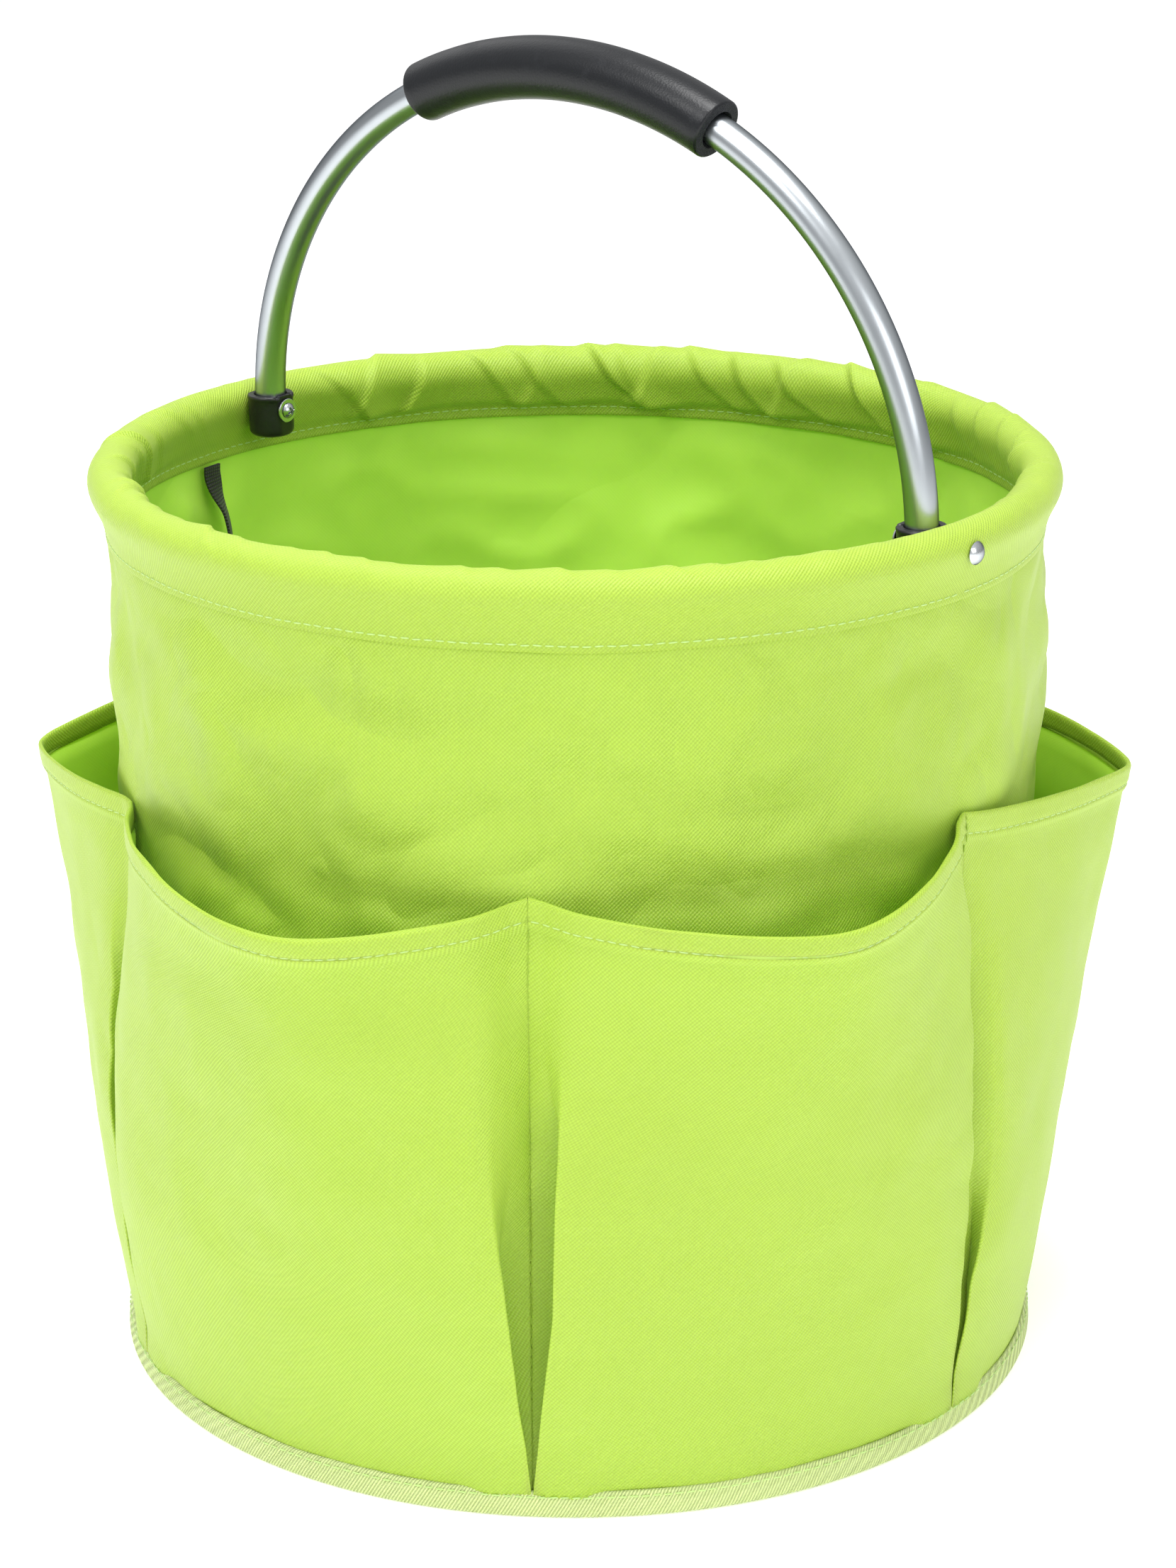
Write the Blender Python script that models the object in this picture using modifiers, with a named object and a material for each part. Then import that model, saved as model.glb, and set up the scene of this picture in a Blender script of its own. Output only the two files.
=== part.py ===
"""Round fruit picking bag: cloth wall on a hoop rim, six outer pockets, and a bail handle on two bolts.

The bag stands on its base at z = 0, centred on the Z axis. The handle turns about an axis along X.
"""

import math

import bmesh
import bpy
from mathutils import Vector

# Driving dimensions, in metres and degrees

GAP = 0.0003                    # between pieces that touch
TURN_STEPS = 60                 # facets round every turned piece

HOOP_RADIUS = 0.172             # centreline of the hoop in the rim
HOOP_HEIGHT = 0.339             # the same centreline above the ground
HOOP_TUBE_RADIUS = 0.006
HOOP_TUBE_WALL = 0.001
HOOP_SPLIT_ANGLE = 90.0         # where the hoop's two ends meet
JOINER_HALF_ANGLE = 7.0

CLOTH = 0.001                   # wall and casing
WALL_OUTSET = 0.001             # the wall's outer face, outside the hoop's centreline
STITCH_DROP = 0.017             # from the hoop's centreline down to the casing's seam
HEM_WIDTH = 0.004               # inner hem below that seam
CASING_EASE = 0.0005            # between the hoop and the cloth round it

POCKET_CLOTH = 0.0008
POCKET_SEAM_ANGLES = (2.6, 62.0, 125.6)     # each again on the opposite side
POCKET_HEIGHT = 0.233           # top of the pocket cloth at a seam
POCKET_DIP = 0.008              # how much lower the mouth hangs between two seams
POCKET_FLARE = 0.034            # how far the mouth stands out from the wall
POCKET_PEAK = 0.58              # where along the mouth it stands out most
POCKET_SEAM_WIDTH = 0.003       # flat strip sewn down at each side of a pocket
POCKET_COLUMNS = 14
POCKET_ROWS = 5

BASE_CLOTH = 0.0008
BASE_RAMP = 0.014               # from the wall in to where the bottom lies flat
BASE_OVER_BINDING = 0.0011      # the bottom's edge above the top of the binding
BOARD_EASE = 0.004              # from the flat's edge in to the board
BOARD_THICKNESS = 0.002

BINDING_CLOTH = 0.0008
BINDING_HEIGHT = 0.0085
BINDING_FLARE = 0.0016
BINDING_CORNER = 0.0006

STRAP_TUBE_RADIUS = 0.0026
STRAP_POINTS = 40
STRAP_ROUTE = (
    (-0.16695, -0.02345, 0.3174),
    (-0.16690, -0.02340, 0.3130),
    (-0.16655, -0.02330, 0.3060),
    (-0.16600, -0.02300, 0.2980),
    (-0.16540, -0.02250, 0.2890),
    (-0.16490, -0.02190, 0.2790),
    (-0.16460, -0.02130, 0.2680),
    (-0.16450, -0.02080, 0.2560),
    (-0.16460, -0.02040, 0.2430),
    (-0.16480, -0.02010, 0.2290),
    (-0.16510, -0.02000, 0.2140),
    (-0.16540, -0.02000, 0.1980),
    (-0.16570, -0.02010, 0.1810),
    (-0.16590, -0.02030, 0.1640),
    (-0.16600, -0.02050, 0.1470),
    (-0.16600, -0.02070, 0.1300),
    (-0.16590, -0.02090, 0.1175),
)

ARCH_HEIGHT = 0.147             # crown of the bail's centreline above the bolts
HANDLE_TUBE_RADIUS = 0.006
HANDLE_TUBE_WALL = 0.001
HANDLE_LEAN = -1.7              # from upright, about +X
LEG_LENGTH = 0.0065             # tube below the bolts
ARCH_STEP = 4.0                 # degrees between the arch's facets
TUBE_SIDES_LEVEL = 4            # 12 sides round the handle's tube and its grip

GRIP_WALL = 0.0048
GRIP_START = 64.0               # along the arch, from +X
GRIP_END = 116.0
GRIP_EASE = 0.0004              # between the grip's bore and the tube

SLEEVE_WALL = 0.0025
SLEEVE_LIP = 0.0003
SLEEVE_LIP_HEIGHT = 0.0017
SLEEVE_TOP = 0.0075             # above the bolt's axis
SLEEVE_BOTTOM = 0.0105          # below it
SLEEVE_FLOOR = 0.0025
SLEEVE_CHAMFER = 0.0020
SLEEVE_BACK_WALL = 0.0007       # left at the flat towards the rim
SLEEVE_SEAT_CUT = 0.0006        # depth of the flat under the washer
SLEEVE_CLEARANCE = 0.0008       # between that sleeve and the casing, so that the handle can turn
SLEEVE_STEPS = 24

BOLT_RADIUS = 0.002
BOLT_BORE_RADIUS = 0.0013
BOLT_BORE_DEPTH = 0.007
BOLT_HEAD_RADIUS = 0.0042
BOLT_HEAD_HEIGHT = 0.0022
WASHER_RADIUS = 0.0047
WASHER_THICKNESS = 0.0008
SCREW_RADIUS = 0.001
SCREW_LENGTH = 0.006
SCREW_HEAD_RADIUS = 0.0030
SCREW_HEAD_HEIGHT = 0.0018
RECESS_RADIUS = 0.0014
RECESS_DEPTH = 0.0010
FASTENER_STEPS = 16

# Sizes that follow from them

CASING_INNER = HOOP_TUBE_RADIUS + CASING_EASE
CASING_OUTER = CASING_INNER + CLOTH
WALL_RADIUS = HOOP_RADIUS + WALL_OUTSET
WALL_INNER = WALL_RADIUS - CLOTH
SEAM_HEIGHT = HOOP_HEIGHT - STITCH_DROP
SLEEVE_BORE = HANDLE_TUBE_RADIUS + GAP
SLEEVE_RADIUS = SLEEVE_BORE + SLEEVE_WALL
SLEEVE_BACK = SLEEVE_BORE + SLEEVE_BACK_WALL
SLEEVE_SEAT = SLEEVE_RADIUS - SLEEVE_SEAT_CUT
LEG_RADIUS = HOOP_RADIUS - CASING_OUTER - SLEEVE_CLEARANCE - SLEEVE_BACK
GRIP_RADIUS = HANDLE_TUBE_RADIUS + GRIP_EASE + GRIP_WALL
BORE_RADIUS = BOLT_RADIUS + GAP
BASE_FLAT_RADIUS = WALL_INNER - BASE_RAMP
BASE_EDGE_HEIGHT = BINDING_HEIGHT + BASE_OVER_BINDING
BOARD_RADIUS = BASE_FLAT_RADIUS - BOARD_EASE
POCKET_INNER = WALL_RADIUS + 0.0005
CLOTH_BOTTOM = 2 * BINDING_CLOTH
BINDING_OUTER = POCKET_INNER + POCKET_CLOTH + 0.0005 + BINDING_CLOTH / 2

# Fresh scene

for old in list(bpy.data.objects):
    bpy.data.objects.remove(old, do_unlink=True)

parts = bpy.data.collections.new("fruit_picking_bag")
cutters = bpy.data.collections.new("cutters")
bpy.context.scene.collection.children.link(parts)
bpy.context.scene.collection.children.link(cutters)


def finish_material(name, colour, roughness, metallic=0.0):
    """One Principled finish, named for its piece."""
    material = bpy.data.materials.new(name)
    material.use_nodes = True
    shader = material.node_tree.nodes["Principled BSDF"]
    shader.inputs["Base Color"].default_value = (*colour, 1.0)
    shader.inputs["Roughness"].default_value = roughness
    shader.inputs["Metallic"].default_value = metallic
    return material


GREEN = (0.42, 0.78, 0.03)
GREEN_TAPE = (0.50, 0.82, 0.08)
BLACK = (0.012, 0.012, 0.013)
ZINC = (0.62, 0.65, 0.66)
ALUMINIUM = (0.80, 0.82, 0.83)


def add_part(name, data, colour, roughness, metallic=0.0):
    """A named sub-part in the bag's collection, with a material of its own."""
    part = bpy.data.objects.new(name, data)
    parts.objects.link(part)
    data.materials.append(finish_material(name, colour, roughness, metallic))
    return part


def as_cutter(name, data):
    cutter = bpy.data.objects.new(name, data)
    cutters.objects.link(cutter)
    cutter.hide_render = True
    cutter.display_type = "WIRE"
    return cutter


def shade(mesh, angle=35.0):
    mesh.shade_smooth()
    mesh.set_sharp_from_angle(angle=math.radians(angle))


def profile_mesh(name, points, closed):
    """A line of (radius, height) points in the XZ plane, for the Screw modifier."""
    mesh = bpy.data.meshes.new(name)
    corners = [(radius, 0.0, height) for radius, height in points]
    edges = [(i, i + 1) for i in range(len(corners) - 1)]
    if closed:
        edges.append((len(corners) - 1, 0))
    mesh.from_pydata(corners, edges, [])
    return mesh


def turn(part, steps):
    """Turns a part's profile round its own Z axis."""
    screw = part.modifiers.new("turn", "SCREW")
    screw.axis = "Z"
    screw.steps = steps
    screw.render_steps = steps
    screw.use_merge_vertices = True
    screw.merge_threshold = 0.0001
    screw.use_smooth_shade = True


def ribbon(path, thickness):
    """The closed outline of a strip of cloth with this centreline.

    The left of the path is the outside of the turned piece, so the path runs down the outer side.
    """
    points = [Vector(point) for point in path]
    left = []
    right = []
    for i, point in enumerate(points):
        before = (point - points[i - 1]).normalized() if i > 0 else None
        after = (points[i + 1] - point).normalized() if i < len(points) - 1 else None
        along = (before or after) + (after or before)
        along.normalize()
        normal = Vector((-along.y, along.x))
        reach = thickness / 2
        if before and after:
            reach /= max(0.5, along.dot(after))
        left.append(point + normal * reach)
        right.append(point - normal * reach)
    return [tuple(p) for p in left + right[::-1]]


def cut(part, cutter, name):
    """Takes a cutter's shape out of a part."""
    boolean = part.modifiers.new(name, "BOOLEAN")
    boolean.operation = "DIFFERENCE"
    boolean.solver = "EXACT"
    boolean.object = cutter


def wire_curve(name, points, radius, resolution, caps):
    """A round wire along these points."""
    curve = bpy.data.curves.new(name, "CURVE")
    curve.dimensions = "3D"
    curve.bevel_depth = radius
    curve.bevel_resolution = resolution
    curve.use_fill_caps = caps
    spline = curve.splines.new("POLY")
    spline.points.add(len(points) - 1)
    for spot, point in zip(spline.points, points):
        spot.co = (*point, 1.0)
    return curve


def mesh_of_curve(name, curve):
    """The curve's surface as a mesh, with its caps joined on."""
    guide = bpy.data.objects.new(name + "_guide", curve)
    parts.objects.link(guide)
    depsgraph = bpy.context.evaluated_depsgraph_get()
    mesh = bpy.data.meshes.new_from_object(guide.evaluated_get(depsgraph))
    bpy.data.objects.remove(guide, do_unlink=True)
    shell = bmesh.new()
    shell.from_mesh(mesh)
    bmesh.ops.remove_doubles(shell, verts=shell.verts, dist=0.00001)
    shell.to_mesh(mesh)
    shell.free()
    mesh.name = name
    mesh.materials.clear()
    return mesh


def hollow_tube(name, points, radius, wall, resolution, finish):
    """A bent tube, open at both ends."""
    mesh = mesh_of_curve(name, wire_curve(name, points, radius, resolution, caps=False))
    shade(mesh, 50.0)
    tube = add_part(name, mesh, *finish)
    bore = tube.modifiers.new("bore", "SOLIDIFY")
    bore.thickness = wall
    bore.offset = -1.0
    bore.use_even_offset = True
    return tube


def turned_part(name, outline, closed, steps, finish):
    part = add_part(name, profile_mesh(name, outline, closed), *finish)
    turn(part, steps)
    return part


# The bolts' bores, one straight line through the whole rim

bore_mesh = bpy.data.meshes.new("bolt_bore")
bore_shape = bmesh.new()
bmesh.ops.create_cone(
    bore_shape,
    cap_ends=True,
    segments=FASTENER_STEPS,
    radius1=BORE_RADIUS,
    radius2=BORE_RADIUS,
    depth=2 * (HOOP_RADIUS + 3 * CASING_OUTER),
)
bore_shape.to_mesh(bore_mesh)
bore_shape.free()
bolt_bore = as_cutter("bolt_bore", bore_mesh)
bolt_bore.location = (0.0, 0.0, HOOP_HEIGHT)
bolt_bore.rotation_euler = (0.0, math.radians(90.0), 0.0)


# Wall and rim

def make_wall():
    top = SEAM_HEIGHT - GAP
    outline = [
        (WALL_RADIUS, top),
        (WALL_RADIUS, CLOTH_BOTTOM),
        (WALL_INNER, CLOTH_BOTTOM),
        (WALL_INNER, top),
    ]
    turned_part("bag_wall", outline, True, TURN_STEPS, (GREEN, 0.6))


def tangent_angle(point, centre, radius, side):
    """The angle on a circle where a straight line from the point touches it."""
    offset = Vector(point) - Vector(centre)
    return math.atan2(offset.y, offset.x) + side * math.acos(radius / offset.length)


def make_casing():
    """The tunnel of cloth round the hoop, from its inner hem over the top to the outer seam."""
    centre = (HOOP_RADIUS, HOOP_HEIGHT)
    radius = (CASING_INNER + CASING_OUTER) / 2
    flap = WALL_INNER - GAP - CLOTH / 2
    inner_seam = (flap, SEAM_HEIGHT)
    outer_seam = (WALL_RADIUS - CLOTH / 2, SEAM_HEIGHT)
    start = tangent_angle(inner_seam, centre, radius, -1) + 2 * math.pi
    end = tangent_angle(outer_seam, centre, radius, 1)
    path = [(flap, SEAM_HEIGHT - HEM_WIDTH), inner_seam]
    arcs = 9
    for i in range(arcs + 1):
        angle = start + (end - start) * i / arcs
        path.append((centre[0] + radius * math.cos(angle), centre[1] + radius * math.sin(angle)))
    path.append(outer_seam)
    casing = turned_part("rim_casing", ribbon(path, CLOTH), True, TURN_STEPS, (GREEN, 0.6))
    cut(casing, bolt_bore, "bolt holes")


def hoop_points(start, end, count):
    points = []
    for i in range(count):
        angle = math.radians(start + (end - start) * i / (count - 1))
        points.append((HOOP_RADIUS * math.cos(angle), HOOP_RADIUS * math.sin(angle), HOOP_HEIGHT))
    return points


def make_hoop():
    """The hoop is one bent tube, whose two ends meet over a plug."""
    half_gap = math.degrees(GAP / 2 / HOOP_RADIUS)
    ends = (HOOP_SPLIT_ANGLE + half_gap, HOOP_SPLIT_ANGLE + 360.0 - half_gap)
    points = hoop_points(*ends, TURN_STEPS + 1)
    hoop = hollow_tube("rim_hoop", points, HOOP_TUBE_RADIUS, HOOP_TUBE_WALL, 2, (ALUMINIUM, 0.35, 1.0))
    cut(hoop, bolt_bore, "bolt holes")
    plug_ends = (HOOP_SPLIT_ANGLE - JOINER_HALF_ANGLE, HOOP_SPLIT_ANGLE + JOINER_HALF_ANGLE)
    plug_radius = HOOP_TUBE_RADIUS - HOOP_TUBE_WALL - 2 * GAP
    plug = wire_curve("hoop_joiner", hoop_points(*plug_ends, 5), plug_radius, 2, caps=True)
    add_part("hoop_joiner", mesh_of_curve("hoop_joiner", plug), BLACK, 0.5)


# Pockets

def pocket_bump(t):
    """How far the mouth stands out, from 0 at both seams to 1, for t from 0 to 1 along it."""
    skew = math.log(0.5) / math.log(POCKET_PEAK)
    return math.sin(math.pi * t ** skew)


def make_pocket(number, start, end):
    """The pocket's cloth: a grid bent round the wall, upright in the binding, flared above it."""
    seam_gap = math.degrees(GAP / 2 / WALL_RADIUS)
    first = start + seam_gap
    last = end - seam_gap
    panel = bmesh.new()
    bmesh.ops.create_grid(panel, x_segments=POCKET_COLUMNS, y_segments=POCKET_ROWS, size=0.5)
    foot = BINDING_HEIGHT + GAP
    strip = math.degrees(POCKET_SEAM_WIDTH / WALL_RADIUS)
    for corner in panel.verts:
        column = round((corner.co.x + 0.5) * POCKET_COLUMNS)
        row = round((corner.co.y + 0.5) * POCKET_ROWS)
        t = min(1.0, max(0.0, (column - 1) / (POCKET_COLUMNS - 2)))
        angle = first + strip + (last - first - 2 * strip) * t
        if column == 0:
            angle = first
        if column == POCKET_COLUMNS:
            angle = last
        angle = math.radians(angle)
        bump = pocket_bump(t)
        top = POCKET_HEIGHT - POCKET_DIP * bump
        rise = max(0, row - 1) / (POCKET_ROWS - 1)
        height = foot + (top - foot) * rise if row > 0 else CLOTH_BOTTOM
        radius = POCKET_INNER + POCKET_FLARE * bump * rise
        corner.co = (radius * math.cos(angle), radius * math.sin(angle), height)
    bmesh.ops.recalc_face_normals(panel, faces=panel.faces)
    middle = math.radians((start + end) / 2)
    outward = Vector((math.cos(middle), math.sin(middle), 0.0))
    panel.faces.ensure_lookup_table()
    if panel.faces[0].normal.dot(outward) < 0.0:
        bmesh.ops.reverse_faces(panel, faces=panel.faces)
    name = f"pocket_{number}"
    mesh = bpy.data.meshes.new(name)
    panel.to_mesh(mesh)
    panel.free()
    shade(mesh)
    pocket = add_part(name, mesh, GREEN, 0.6)
    thick = pocket.modifiers.new("cloth", "SOLIDIFY")
    thick.thickness = POCKET_CLOTH
    thick.offset = 1.0


def make_pockets():
    seams = [angle + half for half in (0.0, 180.0) for angle in POCKET_SEAM_ANGLES]
    for i, start in enumerate(seams):
        end = seams[(i + 1) % len(seams)]
        if end < start:
            end += 360.0
        make_pocket(i + 1, start, end)


# Bottom

def make_base():
    """The bottom's cloth sags to the ground, and its edge turns down inside the wall."""
    middle = BASE_CLOTH / 2
    edge = WALL_INNER - GAP - BASE_CLOTH
    path = [
        (BASE_FLAT_RADIUS, middle),
        (edge - 0.0029, BASE_EDGE_HEIGHT - 0.001),
        (edge - 0.0012, BASE_EDGE_HEIGHT),
        (edge, BASE_EDGE_HEIGHT - 0.001),
        (edge, CLOTH_BOTTOM),
    ]
    outline = [(0.0, BASE_CLOTH), (BASE_FLAT_RADIUS, BASE_CLOTH)]
    outline += ribbon(path, BASE_CLOTH)[1:-1]
    outline += [(BASE_FLAT_RADIUS, 0.0), (0.0, 0.0)]
    turned_part("base_panel", outline, False, TURN_STEPS, (GREEN, 0.6))
    floor = BASE_CLOTH + GAP
    board = [
        (0.0, floor + BOARD_THICKNESS),
        (BOARD_RADIUS, floor + BOARD_THICKNESS),
        (BOARD_RADIUS, floor),
        (0.0, floor),
    ]
    turned_part("base_board", board, False, TURN_STEPS, ((0.05, 0.05, 0.05), 0.7))


def make_binding():
    """Tape folded over the raw edges of the wall, the pockets and the bottom."""
    middle = BINDING_CLOTH / 2
    outer = BINDING_OUTER
    inner = WALL_INNER - GAP - 1.5 * BASE_CLOTH - 2 * GAP - middle
    path = [
        (outer, BINDING_HEIGHT),
        (outer + BINDING_FLARE, middle + BINDING_CORNER),
        (outer + BINDING_FLARE - BINDING_CORNER, middle),
        (inner + BINDING_CORNER, middle),
        (inner, middle + BINDING_CORNER),
        (inner, BINDING_HEIGHT - 0.002),
    ]
    turned_part("base_binding", ribbon(path, BINDING_CLOTH), True, TURN_STEPS, (GREEN_TAPE, 0.8))


def catmull(points, count):
    """Evenly numbered spots on a smooth curve through the points."""
    spots = []
    route = [Vector(p) for p in points]
    route = [2 * route[0] - route[1]] + route + [2 * route[-1] - route[-2]]
    spans = len(points) - 1
    for i in range(count):
        place = spans * i / (count - 1)
        span = min(int(place), spans - 1)
        t = place - span
        a, b, c, d = route[span:span + 4]
        spots.append(
            0.5 * (2 * b + (c - a) * t + (2 * a - 5 * b + 4 * c - d) * t**2 + (3 * b - a - 3 * c + d) * t**3)
        )
    return spots


def make_strap():
    spots = catmull(STRAP_ROUTE, STRAP_POINTS)
    curve = wire_curve("fold_strap", spots, STRAP_TUBE_RADIUS, 2, caps=True)
    add_part("fold_strap", mesh_of_curve("fold_strap", curve), BLACK, 0.8)


# Handle, built about its own pivot

handle_pivot = bpy.data.objects.new("handle_pivot", None)
parts.objects.link(handle_pivot)
handle_pivot.location = (0.0, 0.0, HOOP_HEIGHT)
handle_pivot.rotation_euler = (math.radians(-HANDLE_LEAN), 0.0, 0.0)


def arch_point(angle):
    return (LEG_RADIUS * math.cos(math.radians(angle)), 0.0, ARCH_HEIGHT * math.sin(math.radians(angle)))


def arch_points(start, end):
    count = round((end - start) / ARCH_STEP)
    return [arch_point(start + ARCH_STEP * i) for i in range(count + 1)]


def make_handle():
    feet = [(sign * LEG_RADIUS, 0.0, -LEG_LENGTH) for sign in (1.0, -1.0)]
    points = [feet[0]] + arch_points(0.0, 180.0) + [feet[1]]
    finish = (ALUMINIUM, 0.28, 1.0)
    tube = hollow_tube(
        "handle_tube", points, HANDLE_TUBE_RADIUS, HANDLE_TUBE_WALL, TUBE_SIDES_LEVEL, finish
    )
    tube.parent = handle_pivot
    cut(tube, bolt_bore, "bolt holes")
    grip_line = arch_points(GRIP_START, GRIP_END)
    grip_wall = GRIP_RADIUS - HANDLE_TUBE_RADIUS - GRIP_EASE
    grip = hollow_tube("foam_grip", grip_line, GRIP_RADIUS, grip_wall, TUBE_SIDES_LEVEL, (BLACK, 0.5))
    grip.parent = handle_pivot


def block(name, size, location, parent):
    """A plain box cutter."""
    shape = bmesh.new()
    bmesh.ops.create_cube(shape, size=1.0)
    bmesh.ops.scale(shape, vec=size, verts=shape.verts)
    mesh = bpy.data.meshes.new(name)
    shape.to_mesh(mesh)
    shape.free()
    cutter = as_cutter(name, mesh)
    cutter.location = location
    cutter.parent = parent
    return cutter


def make_sleeve(side, sign):
    """A cup over the tube's end, flat towards the rim and under the washer."""
    floor = -SLEEVE_BOTTOM + SLEEVE_FLOOR
    lip = SLEEVE_RADIUS + SLEEVE_LIP
    lip_base = SLEEVE_TOP - SLEEVE_LIP_HEIGHT
    outline = [
        (0.0, floor),
        (SLEEVE_BORE, floor),
        (SLEEVE_BORE, SLEEVE_TOP),
        (lip - 2 * SLEEVE_LIP, SLEEVE_TOP),
        (lip, SLEEVE_TOP - 2 * SLEEVE_LIP),
        (lip, lip_base),
        (SLEEVE_RADIUS, lip_base - SLEEVE_LIP),
        (SLEEVE_RADIUS, -SLEEVE_BOTTOM + SLEEVE_CHAMFER),
        (SLEEVE_RADIUS - 0.3 * SLEEVE_CHAMFER, -SLEEVE_BOTTOM + 0.3 * SLEEVE_CHAMFER),
        (SLEEVE_RADIUS - SLEEVE_CHAMFER, -SLEEVE_BOTTOM),
        (0.0, -SLEEVE_BOTTOM),
    ]
    sleeve = turned_part(f"pivot_sleeve_{side}", outline, False, SLEEVE_STEPS, (BLACK, 0.45))
    sleeve.parent = handle_pivot
    sleeve.location = (sign * LEG_RADIUS, 0.0, 0.0)
    block_size = 4 * SLEEVE_RADIUS
    for label, reach, way in (("back", SLEEVE_BACK, sign), ("seat", SLEEVE_SEAT, -sign)):
        centre = sign * LEG_RADIUS + way * (reach + block_size / 2)
        flat = block(f"{label}_{side}", (block_size,) * 3, (centre, 0.0, 0.0), handle_pivot)
        cut(sleeve, flat, label)
    cut(sleeve, bolt_bore, "bolt hole")


# Fasteners, each turned about an axis that points out of the rim

def dome(radius, height, count):
    """Points from the axis down a low dome to its rim."""
    bulge = (radius**2 + height**2) / (2 * height)
    half = math.asin(radius / bulge)
    points = []
    for i in range(count + 1):
        angle = half * i / count
        points.append((bulge * math.sin(angle), height - bulge * (1.0 - math.cos(angle))))
    return points


def place_fastener(part, sign, reach):
    part.location = (sign * reach, 0.0, HOOP_HEIGHT)
    part.rotation_euler = (0.0, sign * math.radians(90.0), 0.0)


def make_fasteners(side, sign):
    head_seat = HOOP_RADIUS + CASING_OUTER + GAP
    sleeve_seat = LEG_RADIUS - SLEEVE_SEAT
    washer_outer = sleeve_seat - GAP
    washer_inner = washer_outer - WASHER_THICKNESS
    screw_seat = washer_inner - GAP
    bolt_end = -(head_seat - washer_inner)

    outline = dome(BOLT_HEAD_RADIUS, BOLT_HEAD_HEIGHT, 4)
    outline += [
        (BOLT_RADIUS, 0.0),
        (BOLT_RADIUS, bolt_end),
        (BOLT_BORE_RADIUS, bolt_end),
        (BOLT_BORE_RADIUS, bolt_end + BOLT_BORE_DEPTH),
        (0.0, bolt_end + BOLT_BORE_DEPTH),
    ]
    bolt = turned_part(f"pivot_bolt_{side}", outline, False, FASTENER_STEPS, (ZINC, 0.25, 1.0))
    place_fastener(bolt, sign, head_seat)

    ring = [
        (WASHER_RADIUS, WASHER_THICKNESS),
        (WASHER_RADIUS, 0.0),
        (BORE_RADIUS, 0.0),
        (BORE_RADIUS, WASHER_THICKNESS),
    ]
    washer = turned_part(f"pivot_washer_{side}", ring, True, FASTENER_STEPS, (ZINC, 0.3, 1.0))
    place_fastener(washer, sign, washer_inner)

    head = dome(SCREW_HEAD_RADIUS, SCREW_HEAD_HEIGHT, 4)
    outline = [(0.0, SCREW_LENGTH), (SCREW_RADIUS, SCREW_LENGTH), (SCREW_RADIUS, 0.0)]
    outline += [(radius, -height) for radius, height in head[::-1]]
    screw = turned_part(f"pivot_screw_{side}", outline, False, FASTENER_STEPS, (ZINC, 0.25, 1.0))
    place_fastener(screw, sign, screw_seat)

    recess_mesh = bpy.data.meshes.new(f"recess_{side}")
    recess_shape = bmesh.new()
    bmesh.ops.create_cone(
        recess_shape,
        cap_ends=True,
        segments=6,
        radius1=RECESS_RADIUS,
        radius2=RECESS_RADIUS,
        depth=2 * RECESS_DEPTH,
    )
    recess_shape.to_mesh(recess_mesh)
    recess_shape.free()
    recess = as_cutter(f"recess_{side}", recess_mesh)
    place_fastener(recess, sign, screw_seat - SCREW_HEAD_HEIGHT)
    cut(screw, recess, "recess")


make_wall()
make_casing()
make_hoop()
make_pockets()
make_base()
make_binding()
make_strap()
make_handle()
for side, sign in (("right", 1.0), ("left", -1.0)):
    make_sleeve(side, sign)
    make_fasteners(side, sign)
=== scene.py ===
"""Looks of a round fruit picking bag: green cloth on a hoop rim, six outer pockets, a bail handle."""

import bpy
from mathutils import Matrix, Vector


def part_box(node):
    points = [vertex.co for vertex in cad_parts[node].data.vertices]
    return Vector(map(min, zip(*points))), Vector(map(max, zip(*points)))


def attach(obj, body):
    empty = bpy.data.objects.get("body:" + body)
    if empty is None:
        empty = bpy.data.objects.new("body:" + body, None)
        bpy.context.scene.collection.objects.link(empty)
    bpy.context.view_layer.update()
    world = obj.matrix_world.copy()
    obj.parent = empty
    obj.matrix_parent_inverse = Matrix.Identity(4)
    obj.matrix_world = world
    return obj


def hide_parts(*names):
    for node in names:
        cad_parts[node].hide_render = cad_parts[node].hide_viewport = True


bl_info = {
    "name": "Fruit Picking Bag",
    "version": (1, 0, 0),
    "blender": (4, 5, 0),
    "location": "View3D > Sidebar > Picking Bag",
    "description": "Cloth, tape, webbing, foam and metal of a round picking bag, built round its frame",
    "category": "Add Mesh",
}

import math
import random
from contextlib import contextmanager

import bmesh
import bpy
import numpy as np
from bpy.props import FloatProperty, FloatVectorProperty, PointerProperty
from bpy.types import Operator, Panel, PropertyGroup
from mathutils import Matrix, Vector, noise

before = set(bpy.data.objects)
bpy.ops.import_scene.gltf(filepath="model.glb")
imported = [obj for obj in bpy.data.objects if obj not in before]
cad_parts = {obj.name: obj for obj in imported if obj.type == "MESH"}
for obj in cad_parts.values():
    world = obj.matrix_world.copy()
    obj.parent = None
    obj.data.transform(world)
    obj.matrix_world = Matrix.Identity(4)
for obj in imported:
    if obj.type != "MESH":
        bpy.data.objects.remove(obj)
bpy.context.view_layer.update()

# Places and sizes taken from the frame, in metres

hoop_low, hoop_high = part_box("rim_hoop")
wall_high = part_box("bag_wall")[1]
casing_low, casing_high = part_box("rim_casing")
binding_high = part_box("base_binding")[1]
bottom_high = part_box("base_panel")[1]
board_low, board_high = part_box("base_board")
tube_low, tube_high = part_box("handle_tube")
sleeve_low, sleeve_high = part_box("pivot_sleeve_right")
head_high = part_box("pivot_bolt_right")[1]
washer_low, washer_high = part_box("pivot_washer_right")

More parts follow.
